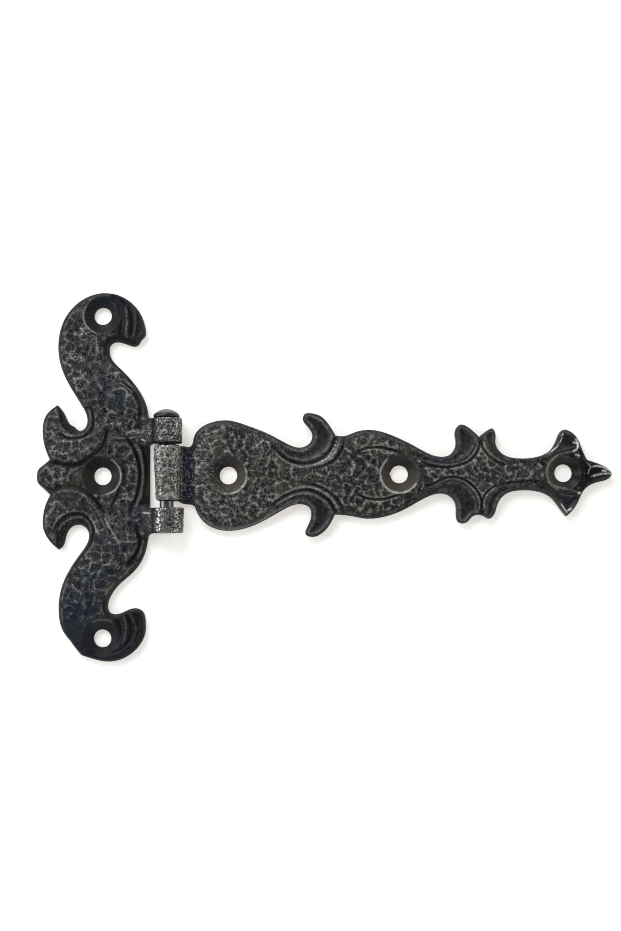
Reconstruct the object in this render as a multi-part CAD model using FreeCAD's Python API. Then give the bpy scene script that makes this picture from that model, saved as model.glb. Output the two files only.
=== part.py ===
"""Ornamental cast-iron strap hinge, one STEP per casting, in millimetres.

The hinge lies on its flat back. +X runs along the strap, +Y along the pin and +Z out of the door.
The origin is the frame leaf's middle screw hole, on the back plane (z = 0).

frame_leaf  scrolled leaf that screws to the door frame, with two knuckles
strap_leaf  long pierced-and-hooked leaf that screws to the door, with the middle knuckle
hinge_pin   round pin with a low domed head above and a swaged tail below
"""

import FreeCAD
import Part
import math
import os

from FreeCAD import Vector

# ---------------------------------------------------------------- driving sizes
frame_height = 115.0            # over both curls
frame_reach = 20.5              # from the screw holes to the pointed end
frame_edge_x = 14.7             # the straight edge that faces the barrel
frame_thickness = 3.0
strap_plate_length = 130.1      # from the shoulder by the neck to the pointed end
strap_plate_width = 38.2        # over both hooks
strap_thickness = 3.6

barrel_diameter = 8.4
edge_gap = 1.3                  # free slot between the frame leaf and the turning barrel
neck_length = 3.7               # from the barrel to the strap's shoulder
neck_thickness = 2.4
knuckle_fillet = 2.5            # hollow where a knuckle rises from its plate
frame_knuckle_length = 8.0
strap_knuckle_length = 17.3
upper_end_gap = 0.6             # end play above and below the middle knuckle
lower_end_gap = 1.9
knuckle_edge_break = 0.3        # chamfer round each end of a barrel

pin_diameter = 4.3
frame_bore_clearance = 0.02     # radial: the pin is driven into the frame leaf
strap_bore_clearance = 0.08     # radial: the strap turns on the pin
head_diameter = 8.2
head_height = 2.7
head_rim_height = 0.9
tail_swage = 0.4                # how far the tail spreads into the bore's mouth

screw_hole_diameter = 5.5
countersink_diameter = 11.4
frame_countersink_depth = 1.6
strap_countersink_depth = 2.4
frame_hole_pitch = 50.2         # middle hole to each hole in a curl
strap_hole_stations = (11.0, 64.2, 115.3)   # from the shoulder, on the drawn ornament

# ------------------------------------------------------------- derived places
barrel_radius = barrel_diameter / 2
pin_radius = pin_diameter / 2
pin_x = frame_edge_x + edge_gap + barrel_radius
pin_z = barrel_radius
shoulder_x = pin_x + barrel_radius + neck_length
frame_gap_half = (strap_knuckle_length + upper_end_gap + lower_end_gap) / 2
knuckle_end_y = frame_gap_half + frame_knuckle_length
strap_knuckle_low = -frame_gap_half + lower_end_gap
strap_knuckle_high = frame_gap_half - upper_end_gap
plate_overlap = 2.0             # how far a knuckle's foot runs into its plate

# ------------------------------------------------------- the drawn ornaments
# Each outline is a list of runs. A run is a smooth curve through its points, and two
# runs meet in a corner. The frame leaf is drawn about its middle screw hole, the
# strap from its shoulder, both at the sizes named here.
DRAWN_FRAME_HEIGHT = 115.0
DRAWN_FRAME_REACH = 20.5
DRAWN_FRAME_EDGE = 14.7
DRAWN_STRAP_LENGTH = 130.1
DRAWN_STRAP_WIDTH = 38.2

FRAME_OUTLINE = [
    # blunt left point
    [(-16.3, -5.7), (-18.8, -3.3), (-20.2, -1.8), (-20.5, 0.2), (-20.1, 2.1), (-18.7, 3.5), (-16.5, 5.3)],
    # upper side leaf, outside
    [(-16.5, 5.3), (-18.0, 9.2), (-18.7, 13.8), (-17.9, 18.6), (-16.2, 20.8), (-14.1, 22.3)],
    # upper side leaf, inside, round the notch, up the back of the scroll, round the curl and down its front
    [(-14.1, 22.3), (-12.3, 20.0), (-11.1, 17.6), (-9.2, 15.5), (-7.2, 14.3), (-5.4, 15.4), (-4.9, 18.2),
     (-6.5, 22.1), (-11.3, 30.2), (-13.5, 36.3), (-13.9, 41.5), (-12.4, 48.4), (-8.0, 54.2), (-1.0, 57.4),
     (6.0, 56.2), (11.1, 51.9), (13.3, 46.2), (13.1, 44.2), (12.0, 42.0), (10.0, 40.8), (8.4, 40.9),
     (6.2, 41.7), (4.1, 42.0), (2.4, 41.0), (2.0, 39.2), (2.5, 37.1), (5.5, 33.6), (9.6, 29.1), (12.4, 24.8),
     (13.8, 21.0), (14.7, 17.0)],
    # edge that faces the barrel
    [(14.7, 17.0), (14.7, -17.0)],
    # front of the lower scroll and round the lower curl
    [(14.7, -17.0), (13.9, -20.8), (12.7, -25.0), (9.6, -29.7), (5.2, -33.6), (2.3, -37.6), (1.6, -40.2),
     (2.3, -42.3), (4.1, -42.8), (7.0, -41.9), (10.2, -41.0), (12.4, -42.0), (13.3, -45.0), (13.1, -49.0),
     (10.8, -53.2), (6.4, -56.4), (1.6, -57.4), (-3.4, -56.3), (-6.4, -55.3)],
    # flat on the lower curl, then up the back of the scroll and round the notch
    [(-6.4, -55.3), (-8.2, -53.2), (-9.8, -51.0)],
    [(-9.8, -51.0), (-12.3, -47.6), (-13.5, -42.5), (-13.0, -35.8), (-10.5, -29.4), (-6.6, -23.6),
     (-4.4, -19.7), (-4.5, -17.0), (-7.1, -15.1), (-10.0, -16.0), (-11.5, -18.9), (-12.5, -21.8), (-13.6, -22.7)],
    # lower side leaf, outside
    [(-13.6, -22.7), (-16.3, -20.1), (-18.2, -16.8), (-18.5, -12.5), (-17.5, -8.2), (-16.3, -5.7)],
]

STRAP_OUTLINE = [
    # round lobe, upper side, and the hollow of the upper hook
    [(0.0, 9.6), (0.3, 12.0), (2.4, 14.7), (6.4, 16.7), (11.4, 17.1), (16.4, 15.7), (23.4, 12.9), (29.4, 9.7),
     (33.5, 8.5), (36.5, 10.0), (37.2, 12.4), (35.5, 15.4), (34.3, 17.5), (34.9, 18.9), (36.7, 19.2),
     (40.2, 18.0), (42.6, 15.3), (44.5, 12.2)],
    # waist and second lobe
    [(44.5, 12.2), (46.9, 12.0), (50.5, 13.2), (55.5, 13.9), (61.9, 12.2), (69.9, 8.2), (75.9, 5.5), (79.8, 5.9),
     (81.9, 9.4), (81.7, 13.2), (83.2, 15.3), (86.0, 14.3), (89.1, 11.5)],
    # small upper spur and the second neck
    [(89.1, 11.5), (91.9, 13.6), (93.2, 14.1), (94.1, 12.9), (94.2, 9.4), (96.7, 5.9), (101.4, 4.7), (106.4, 5.0),
     (111.4, 7.3), (113.4, 10.8), (115.3, 13.5), (118.4, 12.3), (120.6, 8.8), (121.4, 6.6), (122.6, 4.1)],
    # pointed end
    [(122.6, 4.1), (126.0, 2.9), (129.3, 0.9), (130.1, -0.4), (129.2, -1.7), (125.4, -3.0), (121.4, -5.4),
     (119.7, -8.6), (117.6, -11.8), (115.9, -13.4)],
    # lower side of the end and of the second neck, to the small lower spur
    [(115.9, -13.4), (114.2, -11.3), (111.2, -7.5), (106.9, -5.6), (101.4, -5.3), (97.2, -6.4), (94.6, -9.4),
     (93.3, -12.9), (91.9, -14.0), (90.3, -13.2), (88.9, -12.8)],
    [(88.9, -12.8), (86.9, -13.2), (84.5, -15.3), (82.4, -15.0), (81.7, -12.9), (81.5, -9.2), (79.2, -6.6),
     (76.4, -6.1), (72.9, -7.1), (65.4, -11.1), (59.4, -13.2), (53.4, -13.7), (48.4, -12.8), (44.1, -12.4)],
    # lower hook and the round lobe's lower side
    [(44.1, -12.4), (42.2, -15.9), (39.0, -18.8), (36.4, -19.3), (34.9, -18.4), (35.4, -16.3), (36.6, -13.2),
     (36.3, -10.4), (33.4, -9.1), (28.4, -10.6), (20.9, -14.7), (13.9, -17.0), (7.4, -16.7), (2.4, -13.3),
     (0.5, -9.4)],
    [(0.5, -9.4), (0.0, 9.6)],
]


def frame_point(x, y):
    """Place a drawn point of the frame leaf: its back and its front edge stretch separately."""
    reach_scale = frame_reach / DRAWN_FRAME_REACH
    edge_scale = frame_edge_x / DRAWN_FRAME_EDGE
    return Vector(x * (reach_scale if x < 0 else edge_scale), y * frame_height / DRAWN_FRAME_HEIGHT, 0)


def strap_point(u, y):
    """Place a drawn point of the strap, u along it from the shoulder."""
    return Vector(shoulder_x + u * strap_plate_length / DRAWN_STRAP_LENGTH,
                  y * strap_plate_width / DRAWN_STRAP_WIDTH, 0)


def outline_face(runs, place):
    """Make the flat face that a drawn outline bounds."""
    edges = []
    for run in runs:
        points = [place(*point) for point in run]
        if len(points) == 2:
            edges.append(Part.LineSegment(*points).toShape())
        else:
            curve = Part.BSplineCurve()
            curve.interpolate(points)
            edges.append(curve.toShape())
    return Part.Face(Part.Wire(edges))


def plate(runs, place, thickness):
    """Make a flat plate with a drawn outline."""
    return outline_face(runs, place).extrude(Vector(0, 0, thickness))


def barrel(low_y, high_y):
    """Make the solid round of one knuckle, its two ends lightly broken."""
    length = high_y - low_y
    end_radius = barrel_radius - knuckle_edge_break
    profile = Part.makePolygon([
        Vector(0, 0, 0), Vector(end_radius, 0, 0), Vector(barrel_radius, knuckle_edge_break, 0),
        Vector(barrel_radius, length - knuckle_edge_break, 0), Vector(end_radius, length, 0),
        Vector(0, length, 0), Vector(0, 0, 0)])
    round_bar = Part.Face(profile).revolve(Vector(0, 0, 0), Vector(0, 1, 0), 360)
    round_bar.translate(Vector(pin_x, low_y, pin_z))
    return round_bar


def knuckle_foot(side, plate_top, fillet, far_x, low_y, high_y):
    """Make the foot that carries a barrel: a plate with a hollow fillet up to the round.

    side is -1 for a foot that runs towards -X and +1 for one towards +X. far_x is its far end.
    """
    rise = pin_z - plate_top - fillet
    run = math.sqrt((barrel_radius + fillet) ** 2 - rise ** 2)
    share = barrel_radius / (barrel_radius + fillet)
    on_plate = Vector(pin_x + side * run, low_y, plate_top)
    on_barrel = Vector(pin_x + side * run * share, low_y, pin_z - rise * share)
    centre = Vector(on_plate.x, low_y, plate_top + fillet)
    halfway = (on_plate + on_barrel) / 2 - centre
    middle = centre + halfway.normalize() * fillet
    axis_low = Vector(pin_x, low_y, 0)
    axis_mid = Vector(pin_x, low_y, pin_z)
    profile = Part.Wire([
        Part.LineSegment(Vector(far_x, low_y, 0), axis_low).toShape(),
        Part.LineSegment(axis_low, axis_mid).toShape(),
        Part.LineSegment(axis_mid, on_barrel).toShape(),
        Part.Arc(on_barrel, middle, on_plate).toShape(),
        Part.LineSegment(on_plate, Vector(far_x, low_y, plate_top)).toShape(),
        Part.LineSegment(Vector(far_x, low_y, plate_top), Vector(far_x, low_y, 0)).toShape()])
    return Part.Face(profile).extrude(Vector(0, high_y - low_y, 0))


def bore(radius, low_y, high_y):
    """Make the cutter for a pin hole."""
    return Part.makeCylinder(radius, high_y - low_y, Vector(pin_x, low_y, pin_z), Vector(0, 1, 0))


def screw_hole(x, y, thickness, depth):
    """Make the cutter for one countersunk screw hole."""
    hole = Part.makeCylinder(screw_hole_diameter / 2, thickness, Vector(x, y, 0))
    sink = Part.makeCone(screw_hole_diameter / 2, countersink_diameter / 2, depth,
                         Vector(x, y, thickness - depth))
    return hole.fuse(sink)


def frame_leaf():
    """Make the leaf that screws to the frame, with its two knuckles."""
    body = plate(FRAME_OUTLINE, frame_point, frame_thickness)
    foot_end = frame_edge_x - plate_overlap
    spans = ((-knuckle_end_y, -frame_gap_half), (frame_gap_half, knuckle_end_y))
    feet = [knuckle_foot(-1, frame_thickness, knuckle_fillet, foot_end, *span) for span in spans]
    body = body.fuse(feet + [barrel(*span) for span in spans]).removeSplitter()
    bore_radius = pin_radius + frame_bore_clearance
    mouth = Part.makeCone(bore_radius + tail_swage, bore_radius, tail_swage,
                          Vector(pin_x, -knuckle_end_y, pin_z), Vector(0, 1, 0))
    cutters = [bore(bore_radius, -knuckle_end_y, knuckle_end_y), mouth]
    for y in (-frame_hole_pitch, 0, frame_hole_pitch):
        cutters.append(screw_hole(0, y, frame_thickness, frame_countersink_depth))
    return body.cut(cutters)


def strap_leaf():
    """Make the strap that screws to the door, with the middle knuckle."""
    body = plate(STRAP_OUTLINE, strap_point, strap_thickness)
    foot = knuckle_foot(1, neck_thickness, knuckle_fillet / 2, shoulder_x + plate_overlap,
                        strap_knuckle_low, strap_knuckle_high)
    body = body.fuse([foot, barrel(strap_knuckle_low, strap_knuckle_high)]).removeSplitter()
    cutters = [bore(pin_radius + strap_bore_clearance, strap_knuckle_low, strap_knuckle_high)]
    for station in strap_hole_stations:
        centre = strap_point(station, 0)
        cutters.append(screw_hole(centre.x, centre.y, strap_thickness, strap_countersink_depth))
    return body.cut(cutters)


def hinge_pin():
    """Make the pin: domed head on the upper knuckle, tail swaged into the lower one."""
    head_radius = head_diameter / 2
    head_y = knuckle_end_y
    dome_start = Vector(head_radius, head_y + head_rim_height, 0)
    dome_top = Vector(0, head_y + head_height, 0)
    dome_rise = head_height - head_rim_height
    dome_radius = (head_radius ** 2 + dome_rise ** 2) / (2 * dome_rise)
    half_angle = math.asin(head_radius / dome_radius) / 2
    dome_mid = Vector(dome_radius * math.sin(half_angle),
                      dome_top.y - dome_radius * (1 - math.cos(half_angle)), 0)
    corners = [dome_top, Vector(0, -knuckle_end_y, 0), Vector(pin_radius + tail_swage, -knuckle_end_y, 0),
               Vector(pin_radius, -knuckle_end_y + tail_swage, 0), Vector(pin_radius, head_y, 0),
               Vector(head_radius, head_y, 0), dome_start]
    edges = [Part.LineSegment(a, b).toShape() for a, b in zip(corners, corners[1:])]
    edges.append(Part.Arc(dome_start, dome_mid, dome_top).toShape())
    pin = Part.Face(Part.Wire(edges)).revolve(Vector(0, 0, 0), Vector(0, 1, 0), 360)
    pin.translate(Vector(pin_x, 0, pin_z))
    return pin


def main():
    """Build each piece and write it to its own file."""
    os.makedirs("parts", exist_ok=True)
    pieces = {"frame_leaf": frame_leaf(), "strap_leaf": strap_leaf(), "hinge_pin": hinge_pin()}
    for name, shape in pieces.items():
        solid = shape.Solids[0] if len(shape.Solids) == 1 else shape
        solid.exportStep(f"parts/{name}.step")
        print(name, "solids", len(shape.Solids), "valid", shape.isValid(), "volume", round(shape.Volume, 1))


main()
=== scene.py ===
"""Ornamental strap hinge: visible castings, pin and finishes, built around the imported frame.

The castings are drawn in millimetres, with the origin at the frame leaf's middle screw hole, +X along
the strap, +Y along the pin and +Z out of the door. Each finished mesh is scaled to metres once.
"""

import logging
import math
from dataclasses import dataclass, field
from enum import Enum
from functools import reduce
from typing import Callable, Sequence

import bpy
import numpy as np
from mathutils import Matrix, Vector, geometry, kdtree


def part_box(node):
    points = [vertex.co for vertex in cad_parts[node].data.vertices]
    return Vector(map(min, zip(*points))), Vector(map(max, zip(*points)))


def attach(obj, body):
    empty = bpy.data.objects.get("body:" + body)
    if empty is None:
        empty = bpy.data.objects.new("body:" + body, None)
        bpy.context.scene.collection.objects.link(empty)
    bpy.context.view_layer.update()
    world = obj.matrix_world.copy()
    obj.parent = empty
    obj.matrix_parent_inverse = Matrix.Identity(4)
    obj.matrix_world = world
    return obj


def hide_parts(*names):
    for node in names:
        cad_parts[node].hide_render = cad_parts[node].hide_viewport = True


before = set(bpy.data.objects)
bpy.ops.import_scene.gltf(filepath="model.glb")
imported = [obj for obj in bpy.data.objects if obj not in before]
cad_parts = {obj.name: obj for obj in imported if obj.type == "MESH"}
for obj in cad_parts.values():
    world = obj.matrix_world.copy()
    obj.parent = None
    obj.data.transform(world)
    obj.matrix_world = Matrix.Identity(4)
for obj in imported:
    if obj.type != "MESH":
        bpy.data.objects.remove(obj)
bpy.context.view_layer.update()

LOG = logging.getLogger("strap_hinge")
MM = 0.001
Point = tuple[float, float]
Run = tuple[Point, ...]
Array = np.ndarray
Thing = bpy.types.Object
Mesh = bpy.types.Mesh
Material = bpy.types.Material
Tree = bpy.types.NodeTree
Node = bpy.types.Node
Socket = bpy.types.NodeSocket


class Body(Enum):
    """The two rigid sides of the hinge."""

    FRAME = "frame_side"
    STRAP = "strap_side"


class Slot(Enum):
    """The record's material slots."""

    FRAME_IRON = "frame_iron"
    STRAP_IRON = "strap_iron"
    PIN_STEEL = "pin_steel"


# --- plane geometry


def smoothstep(low: float, high: float, value: Array) -> Array:
    """Ease from 0 at low to 1 at high."""
    t = np.clip((value - low) / (high - low), 0.0, 1.0)
    return t * t * (3.0 - 2.0 * t)


def bump(value: Array, centre: float, width: float) -> Array:
    """A soft ridge of height 1 at centre, about width either side."""
    return np.exp(-(((value - centre) / width) ** 2))


def curve_through(points: Sequence[Point], pitch: float) -> Array:
    """Sample a natural cubic spline through the points at an even pitch.

    Args:
        points: The points the curve passes through; two points give a straight line.
        pitch: Wanted distance between samples.

    Returns:
        The samples, both ends included.
    """
    knots = np.asarray(points, float)
    steps = np.linalg.norm(np.diff(knots, axis=0), axis=1)
    at = np.concatenate([[0.0], np.cumsum(steps)])
    count = len(knots)
    bend = np.zeros((count, 2))
    if count > 2:
        system = np.eye(count)
        right = np.zeros((count, 2))
        for i in range(1, count - 1):
            system[i, i - 1: i + 2] = steps[i - 1], 2.0 * (steps[i - 1] + steps[i]), steps[i]
            right[i] = 6.0 * ((knots[i + 1] - knots[i]) / steps[i] - (knots[i] - knots[i - 1]) / steps[i - 1])
        bend = np.linalg.solve(system, right)
    fine = np.linspace(0.0, at[-1], max(int(at[-1] / pitch * 6), 8))
    cell = np.clip(np.searchsorted(at, fine, side="right") - 1, 0, count - 2)
    step = steps[cell][:, None]
    a = (at[cell + 1] - fine)[:, None] / step
    b = 1.0 - a
    dense = (a * knots[cell] + b * knots[cell + 1]
             + ((a ** 3 - a) * bend[cell] + (b ** 3 - b) * bend[cell + 1]) * step ** 2 / 6.0)
    run = np.concatenate([[0.0], np.cumsum(np.linalg.norm(np.diff(dense, axis=0), axis=1))])
    even = np.linspace(0.0, run[-1], max(int(round(run[-1] / pitch)), 1) + 1)
    return np.column_stack([np.interp(even, run, dense[:, k]) for k in (0, 1)])


def distance_to_path(xy: Array, path: Array) -> Array:
    """Distance from each point to a polyline.

    Args:
        xy: The points.
        path: The polyline's points.

    Returns:
        A distance for each point.
    """
    best = np.full(len(xy), 1e9)
    for start, end in zip(path[:-1], path[1:]):
        along = end - start
        share = np.clip((xy - start) @ along / max(along @ along, 1e-12), 0.0, 1.0)
        best = np.minimum(best, np.linalg.norm(xy - start - share[:, None] * along, axis=1))
    return best


def inside_polygon(xy: Array, polygon: Array) -> Array:
    """Tell which points lie inside a closed polygon.

    Args:
        xy: The points.
        polygon: Its corners in order.

    Returns:
        True for each point inside.
    """
    result = np.zeros(len(xy), bool)
    for (x0, y0), (x1, y1) in zip(polygon, np.roll(polygon, -1, axis=0)):
        if y0 != y1:
            crosses = (y0 > xy[:, 1]) != (y1 > xy[:, 1])
            result ^= crosses & (xy[:, 0] < x0 + (xy[:, 1] - y0) * (x1 - x0) / (y1 - y0))
    return result


def border_sides(xy: Array, border: Run) -> tuple[Array, Array]:
    """Distance of each point from a closed border, and the same counted negative outside it."""
    loop = np.asarray(border, float)
    near = distance_to_path(xy, np.vstack([loop, loop[:1]]))
    return near, np.where(inside_polygon(xy, loop), near, -near)


def signed_area(loop: Array) -> float:
    """Twice the area of a closed loop, negative where it runs clockwise."""
    return float(np.sum(loop[:, 0] * np.roll(loop[:, 1], -1) - np.roll(loop[:, 0], -1) * loop[:, 1]))


def ring_edges(start: int, count: int) -> list[tuple[int, int]]:
    """Edges that join consecutive points into a closed ring."""
    return [(start + i, start + (i + 1) % count) for i in range(count)]


@dataclass
class Outline:
    """A closed outline of smooth runs; each starts in the corner where the one before it ends."""

    runs: tuple[Run, ...]
    pitch: float = 0.28
    loop: Array = field(init=False)
    tree: kdtree.KDTree = field(init=False)

    def __post_init__(self) -> None:
        """Sample the runs and index them for distance questions."""
        runs = [(self.runs[i - 1][-1], *run) for i, run in enumerate(self.runs)]
        self.loop = np.vstack([curve_through(run, self.pitch)[:-1] for run in runs])
        closed = np.vstack([curve_through(run, self.pitch / 4)[:-1] for run in runs])
        self.tree = kdtree.KDTree(len(closed))
        for i, (x, y) in enumerate(closed):
            self.tree.insert((x, y, 0.0), i)
        self.tree.balance()

    def distance(self, xy: Array) -> Array:
        """Distance from each point to the outline."""
        find = self.tree.find
        return np.array([find((x, y, 0.0))[2] for x, y in xy])

    def inward(self) -> Array:
        """Unit vectors across the sampled loop, towards the inside."""
        ahead = np.roll(self.loop, -1, axis=0) - np.roll(self.loop, 1, axis=0)
        across = np.column_stack([-ahead[:, 1], ahead[:, 0]]) * np.sign(signed_area(self.loop))
        return across / np.maximum(np.linalg.norm(across, axis=1), 1e-9)[:, None]


# --- relief


@dataclass(frozen=True)
class Stroke:
    """A chased line: a groove where depth is positive, a bead where it is negative."""

    path: Run
    width: float
    depth: float
    fade: float = 0.22


def stroke_cover(strokes: Sequence[Stroke], xy: Array, spread: float, deepest: float) -> Array:
    """How strongly drawn lines cover each point, from 0 to 1.

    Args:
        strokes: The lines.
        xy: The points.
        spread: Added to each line's width.
        deepest: Depth that counts as full strength; 0 counts every line as full.

    Returns:
        The cover.
    """
    cover = np.zeros(len(xy))
    for stroke in strokes:
        strength = 1.0 if deepest == 0.0 else min(1.0, abs(stroke.depth) / deepest)
        away = distance_to_path(xy, curve_through(stroke.path, 1.2))
        cover = np.maximum(cover, strength * bump(away, 0.0, stroke.width + spread))
    return cover


def rim_highlight_line(x: float, y: float, radius: float, start: float, stop: float, strength: float) -> Stroke:
    """A painted highlight: a bright line along part of a seat's rim, between two bearings in degrees.

    Args:
        x, y: The seat's middle.
        radius: How far out the line runs.
        start, stop: Bearings of its ends.
        strength: 1 for a line at full strength.

    Returns:
        The line.
    """
    bearings = np.radians(np.linspace(start, stop, 7))
    path = tuple((x + radius * math.cos(a), y + radius * math.sin(a)) for a in bearings)
    return Stroke(path, 0.17, 0.1 * strength)


@dataclass(frozen=True)
class Panel:
    """A smooth field with a thin raised rim, hollowed inside.

    border closes the field; its stretches outside the casting have no effect.
    """

    border: Run
    level: float
    dish: float = 0.35
    rim: float = 0.12
    rim_at: float = 0.95
    rim_width: float = 0.34
    dish_run: float = 1.5
    blend: float = 0.22

    def laid(self, xy: Array, d: Array) -> tuple[Array, Array]:
        """The panel's share of each point at distance d from the outline, and its height there.

        Args:
            xy: The points.
            d: Their distance from the outline.

        Returns:
            Shares and heights.
        """
        near, side = border_sides(xy, self.border)
        inner = np.minimum(d, near)
        level = (self.level + self.rim * bump(inner, self.rim_at, self.rim_width)
                 - self.dish * smoothstep(self.rim_at, self.rim_at + self.dish_run, inner))
        return smoothstep(-self.blend, self.blend, side), level


@dataclass(frozen=True)
class Bevel:
    """A smooth band that falls from its border to the edge of the casting, with a thin bead along it."""

    border: Run
    level: float
    fall: float
    bead: float = 0.20
    bead_at: float = 0.55
    bead_width: float = 0.14
    blend: Point = (-0.3, 0.2)

    def laid(self, xy: Array, d: Array) -> tuple[Array, Array]:
        """The band's share of each point at distance d from the outline, and its height there.

        Args:
            xy: The points.
            d: Their distance from the outline.

        Returns:
            Shares and heights.
        """
        near, side = border_sides(xy, self.border)
        across = near / np.maximum(near + d, 1e-6)
        bead = self.bead * bump(across, self.bead_at, self.bead_width)
        return smoothstep(*self.blend, side), self.level - self.fall * np.sqrt(across) + bead


@dataclass(frozen=True)
class Countersink:
    """A screw hole in its conical seat."""

    x: float
    y: float
    floor: float
    hole: float = 2.75
    mouth: float = 5.75
    bow: float = 1.0
    nick: float = 0.0
    nick_at: float = math.pi * 0.97
    nick_width: float = 0.09
    bead: float = 0.11
    # The next three set painted light: the bearing in degrees of the seat's lit side, how much of the rim's
    # painted highlight stays there, and how much of the far side takes painted shade.
    lit_side: float = -50.0
    rim_glint: float = 1.0
    one_sided: float = 0.8

    def radius(self, xy: Array) -> Array:
        """Distance of each point from the middle of the hole."""
        return np.linalg.norm(xy - (self.x, self.y), axis=1)

    def facing(self, xy: Array) -> Array:
        """How far each point lies on the worn side of the hole, from 0 to 1."""
        angle = np.arctan2(xy[:, 1] - self.y, xy[:, 0] - self.x)
        return 0.5 + 0.5 * np.cos(angle - math.radians(self.lit_side))

    def sunk(self, z: Array, r: Array) -> Array:
        """Heights z at distances r, with the seat cut in and its lip raised."""
        t = np.clip((r - self.hole) / (self.mouth - self.hole), 0.0, 1.0) ** self.bow
        lip = z + self.bead * bump(r, self.mouth + 0.25, 0.3)
        return np.where(r < self.mouth, self.floor + (z - self.floor) * t, lip)

    def circle(self, radius: float, count: int) -> Array:
        """Points round the hole; a nicked hole bulges on one side."""
        angle = np.arange(count) * 2.0 * math.pi / count
        off = np.abs(np.angle(np.exp(1j * (angle - self.nick_at))))
        bulge = self.nick * bump(off, 0.0, self.nick_width)
        r = radius + bulge * max(0.0, 1.0 - (radius - self.hole) / 0.8)
        return np.column_stack([self.x + r * np.cos(angle), self.y + r * np.sin(angle)])


@dataclass
class PlateRelief:
    """Heights of one cast plate, from its outline and the ornament drawn on it."""

    outline: Outline
    edge_level: float
    crown: float
    crown_reach: float
    panels: tuple[Panel, ...]
    bevels: tuple[Bevel, ...]
    sinks: tuple[Countersink, ...]
    extra: Callable[[Array], Array]
    crown_from: float = 0.8
    edge_bead: float = 0.07
    edge_bead_at: float = 1.05
    edge_bead_width: float = 0.3
    edge_round: float = 0.85
    plain_edge: Point = (0.9, 2.2)

    def height(self, xy: Array, d: Array) -> tuple[Array, Array, Array]:
        """Height of the top, and how far each point is free for hammer marks.

        Args:
            xy: Points on the plate.
            d: Distance of each from the outline.

        Returns:
            Heights; weights from 0 (smooth) to 1 (hammered); the same weights with the screw seats left in.
        """
        inland = np.maximum(d - self.crown_from, 0.0)
        z = self.edge_level + self.crown * (1.0 - np.exp(-inland / self.crown_reach))
        z += self.edge_bead * bump(d, self.edge_bead_at, self.edge_bead_width)
        free = smoothstep(*self.plain_edge, d)
        for ornament in (*self.panels, *self.bevels):
            share, level = ornament.laid(xy, d)
            z = z * (1.0 - share) + level * share
            free *= 1.0 - share
        z += self.extra(xy)
        drop = self.edge_round
        z -= np.where(d < drop, drop - np.sqrt(np.maximum(drop ** 2 - (drop - d) ** 2, 0.0)), 0.0)
        cast = free.copy()
        for sink in self.sinks:
            r = sink.radius(xy)
            z = sink.sunk(z, r)
            free *= smoothstep(sink.mouth + 0.1, sink.mouth + 1.0, r)
        return z, free, cast


# --- mesh making


def mesh_object(name: str, points: Array, faces: Sequence[Sequence[int]]) -> Thing:
    """Make an object in the scene from points and faces.

    Args:
        name: Name of the object and its mesh.
        points: The vertices.
        faces: Vertex numbers of each face.

    Returns:
        The object.
    """
    mesh = bpy.data.meshes.new(name)
    mesh.from_pydata([tuple(p) for p in points], [], [tuple(f) for f in faces])
    mesh.validate()
    mesh.update()
    made = bpy.data.objects.new(name, mesh)
    bpy.context.scene.collection.objects.link(made)
    return made


def discard(thing: Thing) -> None:
    """Remove a helper object and its mesh."""
    mesh = thing.data
    bpy.data.objects.remove(thing)
    bpy.data.meshes.remove(mesh)


def settle(thing: Thing) -> None:
    """Replace an object's mesh with its evaluated form and drop its modifiers."""
    graph = bpy.context.evaluated_depsgraph_get()
    made = bpy.data.meshes.new_from_object(thing.evaluated_get(graph))
    old = thing.data
    thing.modifiers.clear()
    thing.data = made
    bpy.data.meshes.remove(old)


def combine(base: Thing, tool: Thing, operation: str) -> None:
    """Join a solid to another or cut it away, and remove the tool.

    Args:
        base: The solid that stays.
        tool: The solid that goes.
        operation: UNION or DIFFERENCE.
    """
    step = base.modifiers.new("combine", "BOOLEAN")
    step.solver = "MANIFOLD"
    step.operation = operation
    step.object = tool
    settle(base)
    discard(tool)


def lathe(name: str, profile: Sequence[Point], centre: Point, turns: int) -> Thing:
    """Turn a profile round an axis parallel to Y.

    Args:
        name: Name of the object.
        profile: (radius, y) pairs that start and end on the axis, in order of y.
        centre: x and z of the axis.
        turns: Number of divisions round the axis.

    Returns:
        A closed object with its faces outwards.
    """
    angles = np.arange(turns) * 2.0 * math.pi / turns
    points, faces = [], []
    inner = list(profile[1:-1])
    for radius, y in inner:
        points += [(centre[0] + radius * math.cos(a), y, centre[1] + radius * math.sin(a)) for a in angles]
    points.append((centre[0], profile[0][1], centre[1]))
    points.append((centre[0], profile[-1][1], centre[1]))
    first, last = len(points) - 2, len(points) - 1
    for i in range(turns):
        j = (i + 1) % turns
        faces.append((first, j, i))
        top = (len(inner) - 1) * turns
        faces.append((last, top + i, top + j))
        for ring in range(len(inner) - 1):
            a = ring * turns
            faces.append((a + i, a + j, a + turns + j, a + turns + i))
    made = mesh_object(name, np.array(points), faces)
    outward(made)
    return made


def outward(thing: Thing) -> None:
    """Turn a closed mesh's faces outwards."""
    mesh = thing.data
    mesh.calc_loop_triangles()
    points = vertex_points(mesh)
    corners = np.array([tri.vertices[:] for tri in mesh.loop_triangles])
    a, b, c = (points[corners[:, k]] for k in range(3))
    if np.sum(a * np.cross(b, c)) < 0.0:
        mesh.flip_normals()


def vertex_points(mesh: Mesh) -> Array:
    """The mesh's points as an array."""
    flat = np.empty(len(mesh.vertices) * 3)
    mesh.vertices.foreach_get("co", flat)
    return flat.reshape(-1, 3)


def vertex_normals(mesh: Mesh) -> Array:
    """The mesh's vertex normals as an array."""
    flat = np.empty(len(mesh.vertices) * 3, np.float32)
    mesh.vertex_normals.foreach_get("vector", flat)
    return flat.reshape(-1, 3)


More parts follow.
